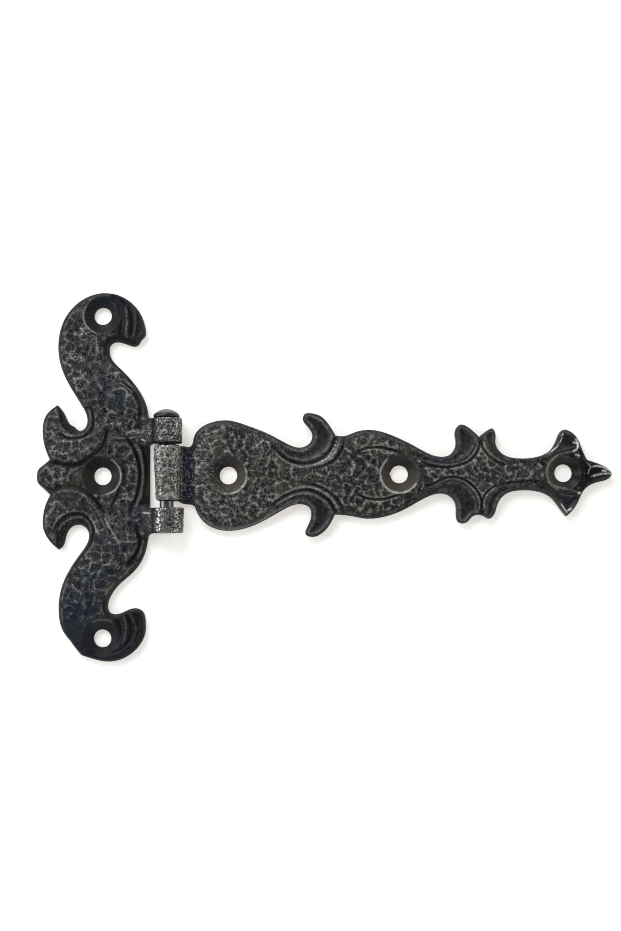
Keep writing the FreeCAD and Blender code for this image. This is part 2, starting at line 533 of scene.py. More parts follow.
def store(mesh: Mesh, name: str, values: Array) -> None:
    """Keep one number for each vertex under a name."""
    layer = mesh.attributes.get(name) or mesh.attributes.new(name, "FLOAT", "POINT")
    layer.data.foreach_set("value", np.asarray(values, np.float32))


def read(mesh: Mesh, name: str) -> Array:
    """Read back a number kept for each vertex."""
    values = np.empty(len(mesh.vertices), np.float32)
    mesh.attributes[name].data.foreach_get("value", values)
    return values.astype(float)


def smoothed(values: Array, edges: Array, rounds: int) -> Array:
    """Average values over each vertex and its neighbours, several times.

    Args:
        values: A row for each vertex.
        edges: The mesh's edges.
        rounds: How many times.

    Returns:
        The averaged rows.
    """
    count = len(values)
    degree = np.bincount(edges.ravel(), minlength=count) + 1.0
    for _ in range(rounds):
        total = values.copy()
        for k in range(values.shape[1]):
            total[:, k] += np.bincount(edges[:, 0], values[edges[:, 1], k], count)
            total[:, k] += np.bincount(edges[:, 1], values[edges[:, 0], k], count)
        values = total / degree[:, None]
    return values


def store_wear_and_shade(mesh: Mesh) -> None:
    """Store where the surface stands proud ("crest"), for rubbed wear, and where it lies in a hollow
    ("hollow"), for painted shade.

    Args:
        mesh: A mesh in millimetres that has "inland" stored.
    """
    points = vertex_points(mesh)
    normals = vertex_normals(mesh)
    edges = np.empty(len(mesh.edges) * 2, np.int64)
    mesh.edges.foreach_get("vertices", edges)
    edges = edges.reshape(-1, 2)
    near, wide = (np.sum((points - smoothed(points, edges, rounds)) * normals, axis=1) for rounds in (4, 22))
    inland = read(mesh, "inland")
    proud = smoothed(np.clip(near * 17.0 + wide * 2.0, -1.0, 1.0)[:, None], edges, 1)[:, 0]
    store(mesh, "crest", proud * inland)
    # hollow: concave places, darkened in the finish as painted shade
    store(mesh, "hollow", np.clip(-wide * 12.0, 0.0, 1.0) * inland)


def triangulate(flat: Array, edges: list[tuple[int, int]], holes: Sequence[Array],
                facing: float) -> tuple[Array, Array, Array]:
    """Fill a plan with triangles and leave its holes open.

    Args:
        flat: The plan's points.
        edges: Pairs of points that stay joined.
        holes: The points round each hole, in order.
        facing: 1 for triangles that face up, -1 for triangles that face down.

    Returns:
        The merged points; each given point's number among them; the triangles.
    """
    cdt = geometry.delaunay_2d_cdt([Vector(p) for p in flat], edges, [], 1, 1e-7)
    merged = np.array([tuple(p) for p in cdt[0]])
    index = np.full(len(flat), -1)
    for new, olds in enumerate(cdt[3]):
        index[olds] = new
    triangles = np.array([tuple(f) for f in cdt[2]])
    centres = merged[triangles].mean(axis=1)
    drilled = np.zeros(len(triangles), bool)
    for hole in holes:
        drilled |= np.isin(triangles, index[hole]).all(axis=1) & inside_polygon(centres, flat[hole])
    triangles = triangles[~drilled]
    a, b, c = (merged[triangles[:, k]] for k in range(3))
    turned = facing * np.cross(b - a, c - a) < 0
    triangles[turned] = triangles[turned][:, [0, 2, 1]]
    return merged, index, triangles


@dataclass
class PlateMesher:
    """Turns an outline and its relief into a closed plate."""

    relief: PlateRelief
    grid: float = 0.29
    row_pitch: float = 0.866
    back_grid: float = 1.6
    rings: tuple[float, ...] = (0.10, 0.24, 0.42, 0.64, 0.88)
    lip_rings: tuple[float, ...] = (0.25, 0.5)
    seat_rings: int = 11
    hole_points: int = 124
    wall_rows: int = 4
    foot_round: float = 0.2

    def grid_points(self) -> Array:
        """A triangular grid inside the outline, clear of its edge and of the screw seats.

        Returns:
            The points.
        """
        loop = self.relief.outline.loop
        low, high = loop.min(axis=0), loop.max(axis=0)
        ahead = np.roll(loop, -1, axis=0)
        rows = []
        for k, y in enumerate(np.arange(low[1], high[1], self.grid * self.row_pitch)):
            crosses = (loop[:, 1] > y) != (ahead[:, 1] > y)
            a, b = loop[crosses], ahead[crosses]
            if len(a) == 0:
                continue
            cuts = np.sort(a[:, 0] + (y - a[:, 1]) * (b[:, 0] - a[:, 0]) / (b[:, 1] - a[:, 1]))
            xs = np.arange(low[0] + (k % 2) * self.grid / 2, high[0], self.grid)
            xs = xs[np.searchsorted(cuts, xs) % 2 == 1]
            rows.append(np.column_stack([xs, np.full(len(xs), y)]))
        points = np.vstack(rows)
        clear = self.grid * 0.6
        keep = self.relief.outline.distance(points) > self.rings[-1] + clear
        for sink in self.relief.sinks:
            keep &= sink.radius(points) > sink.mouth + self.lip_rings[-1] + clear
        return points[keep]

    def plan(self) -> tuple[Array, list[tuple[int, int]], list[Array]]:
        """The plate seen from above: its points, the edges it keeps, and the points round each hole."""
        outline = self.relief.outline
        loop, inward = outline.loop, outline.inward()
        sheets = [loop]
        for inset in self.rings:
            ring = loop + inward * inset
            sheets.append(ring[outline.distance(ring) > inset - 0.02])
        edges, holes = ring_edges(0, len(loop)), []
        for sink in self.relief.sinks:
            seat = np.linspace(sink.hole, sink.mouth, self.seat_rings)
            for radius in (*seat, *(sink.mouth + lip for lip in self.lip_rings)):
                start = sum(len(s) for s in sheets)
                sheets.append(sink.circle(radius, self.hole_points))
                if radius in (sink.hole, sink.mouth):
                    edges += ring_edges(start, self.hole_points)
                if radius == sink.hole:
                    holes.append(np.arange(start, start + self.hole_points))
        return np.vstack([*sheets, self.grid_points()]), edges, holes

    def build(self, name: str) -> Thing:
        """Make the closed plate: its top, its walls down to a rounded foot, and its flat back.

        Args:
            name: Name of the object.

        Returns:
            The plate.
        """
        outline = self.relief.outline
        flat, edges, holes = self.plan()
        plan, index, triangles = triangulate(flat, edges, holes, 1.0)
        height = self.relief.height(plan, outline.distance(plan))[0]
        points, faces, total = [np.column_stack([plan, height])], triangles.tolist(), len(plan)
        walls = [(index[: len(outline.loop)], outline.loop, outline.inward() * self.foot_round)]
        walls += [(index[hole], flat[hole], np.zeros((len(hole), 2))) for hole in holes]
        feet = []
        for upper, path, shift in walls:
            forward = (signed_area(path) > 0) == (not feet)
            shares = [row / self.wall_rows for row in range(1, self.wall_rows + 1)]
            top = height[upper]
            rings = [np.column_stack([path, top * (1.0 - t) + self.foot_round * t]) for t in shares]
            foot = path + shift
            for ring in (*rings, np.column_stack([foot, np.zeros(len(path))])):
                lower = np.arange(total, total + len(path))
                points.append(ring)
                faces += self.band(upper, lower, forward)
                upper, total = lower, total + len(path)
            feet.append((upper, foot))
        back_points, back_faces = self.back(feet, total)
        made = mesh_object(name, np.vstack([*points, back_points]), faces + back_faces)
        outward(made)
        return made

    @staticmethod
    def band(upper: Array, lower: Array, forward: bool) -> list[list[int]]:
        """Faces between two rings of the same length."""
        up, low = np.roll(upper, -1), np.roll(lower, -1)
        corners = (upper, lower, low, up) if forward else (upper, up, low, lower)
        return np.column_stack(corners).tolist()

    def back(self, feet: list[tuple[Array, Array]], offset: int) -> tuple[Array, list[list[int]]]:
        """Close the plate underneath.

        Args:
            feet: For the outline and each hole, the point numbers of its foot and where they lie.
            offset: Number of the first new point.

        Returns:
            The new points, and the faces over them and the feet.
        """
        outer = feet[0][1]
        low, high = outer.min(axis=0), outer.max(axis=0)
        xs, ys = (np.arange(low[k], high[k], self.back_grid) for k in (0, 1))
        inner = np.stack(np.meshgrid(xs, ys), axis=-1).reshape(-1, 2)
        inner = inner[inside_polygon(inner, outer)]
        inner = inner[self.relief.outline.distance(inner) > 0.9]
        for sink in self.relief.sinks:
            inner = inner[sink.radius(inner) > sink.hole + 0.8]
        names = np.concatenate([*(ids for ids, _ in feet), np.arange(offset, offset + len(inner))])
        flat = np.vstack([*(path for _, path in feet), inner])
        starts = np.cumsum([0, *(len(ids) for ids, _ in feet)])
        spans = [np.arange(a, b) for a, b in zip(starts[:-1], starts[1:])]
        edges = [edge for span in spans for edge in ring_edges(int(span[0]), len(span))]
        merged, index, triangles = triangulate(flat, edges, spans[1:], -1.0)
        origin = np.empty(len(merged), int)
        origin[index] = np.arange(len(flat))
        return np.column_stack([inner, np.zeros(len(inner))]), names[origin[triangles]].tolist()


# --- node trees


class Wiring:
    """Adds nodes to a tree and links them."""

    def __init__(self, tree: Tree) -> None:
        """Start on a tree."""
        self.tree = tree

    def feed(self, socket: Socket, value: object) -> None:
        """Link a socket, or set its value."""
        if isinstance(value, Socket):
            self.tree.links.new(value, socket)
        else:
            socket.default_value = value

    def node(self, kind: str, inputs: dict | None = None, **settings: object) -> Node:
        """Add a node with its settings and inputs.

        Args:
            kind: The node's type.
            inputs: Values or sockets by input.
            settings: Its other settings.

        Returns:
            The node.
        """
        made = self.tree.nodes.new(kind)
        for name, value in settings.items():
            setattr(made, name, value)
        for key, value in (inputs or {}).items():
            self.feed(made.inputs[key], value)
        return made

    def math(self, operation: str, a: object, b: object = 0.0, clamp: bool = False) -> Socket:
        """One arithmetic step."""
        return self.node("ShaderNodeMath", {0: a, 1: b}, operation=operation, use_clamp=clamp).outputs[0]

    def times(self, *values: object) -> Socket:
        """The product of the values."""
        return reduce(lambda a, b: self.math("MULTIPLY", a, b), values)

    def plus(self, *values: object) -> Socket:
        """The sum of the values."""
        return reduce(lambda a, b: self.math("ADD", a, b), values)

    def most(self, *values: object) -> Socket:
        """The largest of the values."""
        return reduce(lambda a, b: self.math("MAXIMUM", a, b), values)

    def less(self, a: object, b: object) -> Socket:
        """The first value less the second."""
        return self.math("SUBTRACT", a, b)

    def vector(self, operation: str, a: object, b: object = (0.0, 0.0, 0.0)) -> Socket:
        """One vector step."""
        return self.node("ShaderNodeVectorMath", {0: a, 1: b}, operation=operation).outputs[0]

    def scaled(self, a: object, by: object) -> Socket:
        """A vector times a number."""
        return self.node("ShaderNodeVectorMath", {0: a, 3: by}, operation="SCALE").outputs[0]

    def shrunk(self, a: object, by: object) -> Socket:
        """A vector divided by a number."""
        return self.scaled(a, self.math("DIVIDE", 1.0, by))

    def noise(self, at: object, scale: float, detail: float = 2.0, roughness: float = 0.5) -> Socket:
        """Noise from 0 to 1."""
        return self.node("ShaderNodeTexNoise", {"Vector": at, "Scale": scale, "Detail": detail,
                                                "Roughness": roughness}).outputs[0]

    def cells(self, at: object, scale: float) -> Socket:
        """Distance to the nearest of scattered seeds."""
        return self.node("ShaderNodeTexVoronoi", {"Vector": at, "Scale": scale}).outputs["Distance"]

    def ramp(self, value: object, low: object, high: object, start: float = 0.0,
             end: float = 1.0) -> Socket:
        """Ease a value from one range to another."""
        return self.node("ShaderNodeMapRange", {0: value, 1: low, 2: high, 3: start, 4: end},
                         interpolation_type="SMOOTHSTEP").outputs[0]

    def mix(self, share: object, a: object, b: object) -> Socket:
        """Blend two colours."""
        return self.node("ShaderNodeMix", {0: share, 6: a, 7: b}, data_type="RGBA").outputs[2]

    def layered(self, colour: object, layers: Sequence[tuple[object, object]]) -> Socket:
        """Lay colours over a first one, each with its share."""
        for share, over in layers:
            colour = self.mix(share, colour, over)
        return colour

    def stored(self, name: str) -> Socket:
        """A number kept on the mesh, for a geometry tree."""
        return self.node("GeometryNodeInputNamedAttribute", {"Name": name}, data_type="FLOAT").outputs[0]


def geometry_tree(name: str, sockets: dict[str, str]) -> tuple[Wiring, Node, Node]:
    """Start a Geometry Nodes tree.

    Args:
        name: Name of the tree.
        sockets: Input names and their socket types, besides the geometry.

    Returns:
        The wiring, its input node and its output node.
    """
    tree = bpy.data.node_groups.new(name, "GeometryNodeTree")
    tree.interface.new_socket("Geometry", in_out="INPUT", socket_type="NodeSocketGeometry")
    tree.interface.new_socket("Geometry", in_out="OUTPUT", socket_type="NodeSocketGeometry")
    for label, kind in sockets.items():
        tree.interface.new_socket(label, in_out="INPUT", socket_type=kind)
    wiring = Wiring(tree)
    return wiring, wiring.node("NodeGroupInput"), wiring.node("NodeGroupOutput")


def close_tree(wiring: Wiring, made: Socket, source: Node, sink: Node) -> None:
    """End a tree in Realize Instances and Set Material.

    Args:
        wiring: The tree's nodes.
        made: The finished geometry.
        source: The tree's input node.
        sink: Its output node.
    """
    real = wiring.node("GeometryNodeRealizeInstances", {"Geometry": made}).outputs[0]
    dressed = {"Geometry": real, "Material": source.outputs["Material"]}
    wiring.feed(sink.inputs["Geometry"], wiring.node("GeometryNodeSetMaterial", dressed).outputs[0])


def chased_line_tree() -> Tree:
    """Sinks or raises a surface along drawn lines, each with its own width and depth."""
    wiring, source, sink = geometry_tree("Chased lines", {
        "Lines": "NodeSocketObject", "Strength": "NodeSocketFloat", "Material": "NodeSocketMaterial"})
    lines = wiring.node("GeometryNodeObjectInfo", {"Object": source.outputs["Lines"]}).outputs["Geometry"]
    place = wiring.node("GeometryNodeInputPosition").outputs[0]
    flat = wiring.vector("MULTIPLY", place, (1.0, 1.0, 0.0))
    away = wiring.node("GeometryNodeProximity", {"Target": lines, "Source Position": flat},
                       target_element="EDGES").outputs["Distance"]
    nearest = wiring.node("GeometryNodeSampleNearest", {"Geometry": lines, "Sample Position": flat},
                          domain="POINT").outputs[0]
    width, depth = (wiring.node("GeometryNodeSampleIndex", {
        "Geometry": lines, "Value": wiring.stored(key), "Index": nearest}, data_type="FLOAT",
        domain="POINT").outputs[0] for key in ("width", "depth"))
    ratio = wiring.math("DIVIDE", away, wiring.most(width, 0.05))
    falloff = wiring.math("EXPONENT", wiring.times(wiring.math("POWER", ratio, 2.0), -1.0))
    sunk = wiring.times(falloff, depth, source.outputs["Strength"], wiring.stored("chase"), -1.0)
    offset = wiring.node("ShaderNodeCombineXYZ", {2: sunk}).outputs[0]
    moved = wiring.node("GeometryNodeSetPosition", {"Geometry": source.outputs["Geometry"], "Offset": offset})
    close_tree(wiring, moved.outputs[0], source, sink)
    return wiring.tree


def dent_cells(wiring: Wiring, place: Socket, size: object, seed: object,
               feature: str) -> Socket:
    """The pattern of hammer dents, the same in a geometry tree and in a material.

    Args:
        wiring: The tree.
        place: Position in millimetres.
        size: Width of a dent.
        seed: Shifts the pattern.
        feature: Voronoi feature: F1 grows from each dent's middle, DISTANCE_TO_EDGE from its border.

    Returns:
        The distance, in dent widths.
    """
    shift = wiring.node("ShaderNodeCombineXYZ", {0: seed, 1: seed}).outputs[0]
    moved = swayed = wiring.vector("ADD", place, shift)
    for scale, reach in ((0.5, 1.7), (0.17, 4.5)):
        sway = wiring.node("ShaderNodeTexNoise", {"Vector": moved, "Scale": scale, "Detail": 1.0},
                           noise_dimensions="2D").outputs["Color"]
        sway = wiring.scaled(wiring.vector("SUBTRACT", sway, (0.5, 0.5, 0.5)), reach)
        swayed = wiring.vector("ADD", swayed, sway)
    return wiring.node("ShaderNodeTexVoronoi", {"Vector": wiring.shrunk(swayed, size), "Scale": 1.0},
                       feature=feature, voronoi_dimensions="2D").outputs["Distance"]


def hammer_tree() -> Tree:
    """Covers the marked parts of a surface with hammer dents and a finer cast grain, along its normal."""
    sizes = ("Dent size", "Dent depth", "Lump size", "Lump depth", "Seed")
    wiring, source, sink = geometry_tree("Hammered skin", {
        **{label: "NodeSocketFloat" for label in sizes}, "Material": "NodeSocketMaterial"})
    place = wiring.node("GeometryNodeInputPosition").outputs[0]
    hammer, lumpy = wiring.stored("hammer"), wiring.stored("lumps")
    dents = dent_cells(wiring, place, source.outputs["Dent size"], source.outputs["Seed"], "F1")
    lumps = wiring.cells(wiring.shrunk(place, source.outputs["Lump size"]), 1.0)
    vary = wiring.ramp(wiring.noise(place, 0.22, 1.0), 0.3, 0.7, 0.5, 1.0)
    parts = []
    for cells, mark, depth, lift in ((dents, hammer, "Dent depth", 0.36), (lumps, lumpy, "Lump depth", 0.45)):
        bowl = wiring.less(wiring.times(wiring.math("POWER", cells, 2.0), 1.7), lift)
        parts.append(wiring.times(bowl, vary, mark, source.outputs[depth]))
    fine = wiring.less(wiring.noise(place, 1.6, 3.0, 0.6), 0.5)
    total = wiring.plus(*parts, wiring.times(fine, wiring.plus(hammer, lumpy), 0.12))
    normal = wiring.node("GeometryNodeInputNormal").outputs[0]
    moved = wiring.node("GeometryNodeSetPosition", {"Geometry": source.outputs["Geometry"],
                                                    "Offset": wiring.scaled(normal, total)})
    close_tree(wiring, moved.outputs[0], source, sink)
    return wiring.tree


def run_tree(thing: Thing, tree: Tree, values: dict[str, object]) -> None:
    """Run a Geometry Nodes tree on an object and keep the result as a plain mesh.

    Args:
        thing: The object.
        tree: The tree.
        values: Values by the names of its inputs.
    """
    step = thing.modifiers.new(tree.name, "NODES")
    step.node_group = tree
    for item in tree.interface.items_tree:
        if item.item_type == "SOCKET" and item.in_out == "INPUT" and item.name in values:
            step[item.identifier] = values[item.name]
    settle(thing)


# --- finishes


def shader_group(name: str, inputs: dict[str, tuple[str, object]],
                 outputs: Sequence[str]) -> tuple[Wiring, dict[str, Socket], Node]:
    """Start a shader group.

    Args:
        name: Name of the group.
        inputs: Input names with their socket types and values.
        outputs: Names of the numbers that the group puts out.

    Returns:
        The wiring, the input sockets by name and the output node.
    """
    tree = bpy.data.node_groups.new(name, "ShaderNodeTree")
    for label, (kind, value) in inputs.items():
        made = tree.interface.new_socket(label, in_out="INPUT", socket_type=kind)
        if value is not None:
            made.default_value = value
    for label in outputs:
        tree.interface.new_socket(label, in_out="OUTPUT", socket_type="NodeSocketFloat")
    wiring = Wiring(tree)
    source = wiring.node("NodeGroupInput")
    return wiring, {label: source.outputs[label] for label in inputs}, wiring.node("NodeGroupOutput")


def cast_grain_group() -> Tree:
    """Fine pits and lumps of a sand-cast skin: a height and a speckle mask."""
    wiring, given, sink = shader_group(
        "Cast grain", {"Place": ("NodeSocketVector", None), "Pit size": ("NodeSocketFloat", 0.35)},
        ("Height", "Speckle"))
    place = wiring.shrunk(given["Place"], given["Pit size"])
    lumps, pits = wiring.noise(place, 0.5, 5.0, 0.65), wiring.cells(place, 0.9)
    wiring.feed(sink.inputs["Height"], wiring.plus(wiring.times(lumps, 0.7), wiring.times(pits, 0.3)))
    wiring.feed(sink.inputs["Speckle"], wiring.ramp(wiring.noise(place, 0.55, 3.0, 0.75), 0.42, 0.66))
    return wiring.tree


def rubbed_group() -> Tree:
    """Where the black coat is rubbed through: crests of the relief, broken up by the grain."""
    wiring, given, sink = shader_group(
        "Rubbed crests", {"Crest": ("NodeSocketFloat", 0.0), "Speckle": ("NodeSocketFloat", 0.5),
                          "Start": ("NodeSocketFloat", 0.25), "Full": ("NodeSocketFloat", 0.9)}, ("Mask",))
    raised = wiring.ramp(given["Crest"], given["Start"], given["Full"])
    broken = wiring.plus(wiring.times(given["Speckle"], 0.75), 0.25)
    wiring.feed(sink.inputs["Mask"], wiring.math("MULTIPLY", raised, broken, clamp=True))
    return wiring.tree


def tarnish_group() -> Tree:
    """Broad patches of blue heat colour and brown bloom: one mask for each."""
    wiring, given, sink = shader_group(
        "Tarnish patches", {"Place": ("NodeSocketVector", None), "Patch size": ("NodeSocketFloat", 14.0)},
        ("Blue", "Brown"))
    place = wiring.shrunk(given["Place"], given["Patch size"])
    wiring.feed(sink.inputs["Blue"], wiring.ramp(wiring.noise(place, 1.0, 3.0), 0.55, 0.75))
    aside = wiring.vector("ADD", place, (7.3, 2.1, 4.4))
    wiring.feed(sink.inputs["Brown"], wiring.ramp(wiring.noise(aside, 1.3, 3.0), 0.5, 0.75))
    return wiring.tree


@dataclass
class SharedGroups:
    """Shader groups that the finishes share."""

    grain: Tree = field(default_factory=cast_grain_group)
    rubbed: Tree = field(default_factory=rubbed_group)
    tarnish: Tree = field(default_factory=tarnish_group)


class Bench(Wiring):
    """A new material with what every finish has: its place in millimetres, cast grain and rubbed crests."""

    def __init__(self, name: str, groups: SharedGroups, crest_from: float, crest_full: float) -> None:
        """Start the material.

        Args:
            name: Name of the material.
            groups: The shader groups.
            crest_from: Crest height where the rubbing starts.
            crest_full: Crest height where the coat is rubbed right through.
        """
        self.material = bpy.data.materials.new(name)
        self.material.use_nodes = True
        super().__init__(self.material.node_tree)
        self.tree.nodes.clear()
        self.place = self.scaled(self.node("ShaderNodeTexCoord").outputs["Object"], 1.0 / MM)
        grain = self.node("ShaderNodeGroup", {"Place": self.place}, node_tree=groups.grain)
        self.pits, self.speckle = grain.outputs["Height"], grain.outputs["Speckle"]
        self.rubbed = self.node("ShaderNodeGroup", {
            "Crest": self.mark("crest"), "Speckle": self.speckle, "Start": crest_from, "Full": crest_full},
            node_tree=groups.rubbed).outputs["Mask"]

    def mark(self, name: str) -> Socket:
        """A number kept on the mesh."""
        return self.node("ShaderNodeAttribute", attribute_name=name).outputs["Fac"]

    def surface(self, colour: object, rough: object, metal: object, specular: float, bite: float,
                pit_depth: float) -> Material:
        """End the material in one surface.

        Args:
            colour: Its colour.
            rough: Its roughness.
            metal: How metallic it is.
            specular: How strongly its coat mirrors.
            bite: Strength of the pits, from 0 to 1.
            pit_depth: Their depth in millimetres.

        Returns:
            The material.
        """
        pits = {"Height": self.pits, "Strength": bite, "Distance": pit_depth * MM}
        made = self.node("ShaderNodeBsdfPrincipled", {
            "Base Color": colour, "Roughness": rough, "Metallic": metal, "Specular IOR Level": specular,
            "Normal": self.node("ShaderNodeBump", pits).outputs[0]})
        self.node("ShaderNodeOutputMaterial", {"Surface": made.outputs[0]})
        return self.material


Colour = tuple[float, float, float, float]
Skin = dict[str, Socket]


@dataclass(frozen=True)
class BlackenedIron:
    """Black-coated cast iron with its crests rubbed back to grey metal."""

    name: str
    dent_size: float
    seed: float
    smooth_coat: Colour = (0.0060, 0.0070, 0.0098, 1.0)
    smooth_light: Colour = (0.021, 0.023, 0.027, 1.0)
    deep_coat: Colour = (0.0020, 0.0024, 0.0034, 1.0)
    light_coat: Colour = (0.078, 0.083, 0.088, 1.0)
    haze_and_sheen: Colour = (0.130, 0.126, 0.112, 1.0)
    blue: Colour = (0.0100, 0.0180, 0.0340, 1.0)
    brown: Colour = (0.046, 0.040, 0.027, 1.0)
    bare: Colour = (0.52, 0.515, 0.49, 1.0)
    knuckle_bare: Colour = (0.48, 0.47, 0.44, 1.0)
    shine: Colour = (0.92, 0.92, 0.90, 1.0)
    roughness: float = 0.44
    bare_roughness: float = 0.28
    uneven: float = 0.25
    polish: float = 0.16
    specular: float = 0.13
    veining: float = 1.75
    fineness: float = 0.45
    grain_range: Point = (0.31, 0.71)
    scuffing: float = 0.6
    seat_brown: float = 0.15
    bloom: float = 0.45
    vein_reach: float = 0.065
    haze_reach: float = 0.22
    hazing: float = 0.25
    pooling: float = 0.65
    hollow_shading: float = 0.95
    shading: float = 0.85
    edge_sheen: float = 0.30
    heat: float = 0.8
    tinting: float = 0.6
    sparkle: float = 0.6
    crest_share: float = 0.7
    crest_from: float = 0.22
    crest_full: float = 0.80
    metal: float = 0.75
    shine_metal: float = 0.20
    pit_bite: float = 0.7
    pit_depth: float = 0.09

    def build(self, groups: SharedGroups) -> Material:
        """Make the material.

        Args:
            groups: The shared node groups.

        Returns:
            The material.
        """
        bench = Bench(self.name, groups, self.crest_from, self.crest_full)
        skin = {key: bench.mark(key) for key in (
            "hollow", "hammer", "grain", "seat", "blue", "scuff", "polish", "groove", "ridge", "bright",
            "veins", "edge", "shade")}
        skin["mottle"] = bench.noise(bench.place, 0.8, 5.0, 0.68)
        skin["fine"] = bench.noise(bench.place, 1.9, 3.0, 0.62)
        skin["patchy"] = bench.ramp(bench.noise(bench.place, 0.28, 3.0, 0.6), 0.34, 0.62)
        skin["border"] = dent_cells(bench, bench.place, self.dent_size, self.seed, "DISTANCE_TO_EDGE")
        worn, knuckle = self.worn(bench, skin), self.worn_knuckle(bench, skin)
        # bright marks take the shine colour: scratches rubbed to metal, and painted highlights
        shine = bench.times(skin["bright"], bench.ramp(skin["fine"], 0.34, 0.54, 0.35, 1.0))
        colour = self.coat(bench, skin, groups)
        colour = bench.layered(colour, (
            (self.haze_and_edge_sheen(bench, skin), self.haze_and_sheen), (knuckle, self.knuckle_bare), (worn, self.bare),
            (shine, self.shine)))
        bareness = bench.most(worn, knuckle, shine)
        rough = bench.plus(self.roughness, bench.times(bareness, self.bare_roughness - self.roughness),
                           bench.times(bench.less(skin["mottle"], 0.5), self.uneven))
        rough = bench.less(rough, bench.times(skin["polish"], self.polish))
        metal = bench.less(bench.times(bareness, self.metal),
                           bench.times(shine, self.metal - self.shine_metal))
        return bench.surface(colour, rough, bench.most(metal, 0.0), self.specular, self.pit_bite,
                             self.pit_depth)

    def coat(self, bench: Bench, skin: Skin, groups: SharedGroups) -> Socket:
        """Colour of the coat: mottled on the hammering, blackest in dents and grooves, darkened by painted
        shade in hollows, on the far sides of the seats and in the knuckle gaps, tinted in patches.

        Args:
            bench: The material's nodes.
            skin: Masks and patterns by name.
            groups: The shared node groups.

        Returns:
            The colour.
        """
        hammer, mottle = skin["hammer"], skin["mottle"]
        smooth = bench.mix(bench.ramp(mottle, 0.36, 0.74), self.smooth_coat, self.smooth_light)
        grainy = bench.plus(bench.times(mottle, 1.0 - self.fineness),
                            bench.times(skin["fine"], self.fineness))
        mottled = bench.mix(bench.ramp(grainy, *self.grain_range), self.deep_coat, self.light_coat)
        middle = dent_cells(bench, bench.place, self.dent_size, self.seed, "F1")
        pool = bench.times(bench.ramp(middle, 0.46, 0.20), hammer, self.pooling)
        # hollow and shade lay painted shade on concave places, the seats' far sides and the knuckle gaps
        dark = bench.most(bench.times(skin["hollow"], self.hollow_shading), pool, skin["groove"],
                          bench.times(bench.most(skin["shade"], skin["polish"]), self.shading))
        tarnish = bench.node("ShaderNodeGroup", {"Place": bench.place}, node_tree=groups.tarnish).outputs
        blue = bench.most(skin["blue"], bench.times(tarnish["Blue"], self.tinting))
        brown = bench.most(bench.times(skin["seat"], self.seat_brown),
                           bench.times(tarnish["Brown"], self.bloom))
        return bench.layered(bench.mix(hammer, smooth, mottled), (
            (dark, self.deep_coat), (bench.times(blue, self.heat), self.blue), (brown, self.brown)))

    def haze_and_edge_sheen(self, bench: Bench, skin: Skin) -> Socket:
        """Where the coat is hazed grey between the dents and in patches, with a painted sheen along the
        edges.
        """
        aside = bench.vector("ADD", bench.place, (31.0, 17.0, 5.0))
        patch = bench.ramp(bench.noise(aside, 0.16, 3.0, 0.55), 0.40, 0.62)
        veil = bench.times(bench.ramp(skin["border"], self.haze_reach, 0.02), skin["hammer"], patch,
                           self.hazing, skin["veins"], bench.ramp(skin["mottle"], 0.32, 0.66, 0.25, 1.0))
        # painted sheen: a lighter line just inside the outline
        edge = bench.times(skin["edge"], bench.ramp(skin["patchy"], 0.0, 1.0, 0.12, self.edge_sheen))
        return bench.most(veil, edge)

    def worn(self, bench: Bench, skin: Skin) -> Socket:
        """Where the coat is worn to metal: crests, scuffs, borders of the dents and sparks, with a painted
        sheen along the raised lines.

        Args:
            bench: The material's nodes.
            skin: Masks and patterns by name.

        Returns:
            The mask.
        """
        fine, patchy, scuff = skin["fine"], skin["patchy"], skin["scuff"]
        crest = bench.times(bench.rubbed, bench.ramp(skin["mottle"], 0.30, 0.60, 0.3, 1.0),
                            bench.ramp(skin["veins"], 0.0, 1.0, 1.0 - self.crest_share, 1.0))
        flecks = bench.times(scuff, bench.ramp(bench.speckle, 0.55, 1.0), self.scuffing)
        gaps = bench.ramp(bench.noise(bench.place, 0.9, 3.0, 0.6), 0.49, 0.62, 0.0, self.vein_reach)
        main = bench.ramp(bench.plus(skin["border"], gaps), self.vein_reach, 0.0)
        small = dent_cells(bench, bench.place, self.dent_size * 0.5, self.seed + 9.0, "DISTANCE_TO_EDGE")
        small = bench.ramp(bench.plus(small, gaps), self.vein_reach * 1.3, 0.0, 0.0, 0.5)
        vein = bench.times(bench.most(main, small), skin["hammer"],
                           bench.ramp(patchy, 0.15, 1.0, 0.04 * self.veining, 0.75 * self.veining),
                           bench.ramp(fine, 0.39, 0.57, 0.16, 1.2), skin["veins"])
        spark = bench.plus(bench.noise(bench.place, 2.6, 2.0, 0.5), bench.times(scuff, 0.07))
        spark = bench.times(bench.ramp(spark, 0.65, 0.75), skin["hammer"],
                            bench.ramp(bench.most(patchy, scuff), 0.0, 1.0, 0.1 * self.sparkle, self.sparkle))
        # painted sheen along the crests of the raised lines
        line = bench.times(skin["ridge"], bench.ramp(fine, 0.36, 0.64, 0.05, 0.40))
        return bench.times(bench.most(crest, flecks, vein, spark, line),
                           bench.less(1.0, bench.times(skin["groove"], 0.85)))

    def worn_knuckle(self, bench: Bench, skin: Skin) -> Socket:
        """Where the knuckles are rubbed to grainy metal."""
        blobs = bench.noise(bench.place, 0.55, 2.0, 0.5)
        pitted = bench.plus(bench.times(bench.speckle, 0.5), bench.times(skin["fine"], 0.45),
                            bench.times(blobs, 0.55))
        return bench.times(skin["grain"], bench.ramp(pitted, 0.58, 1.04, 0.02, 1.0))


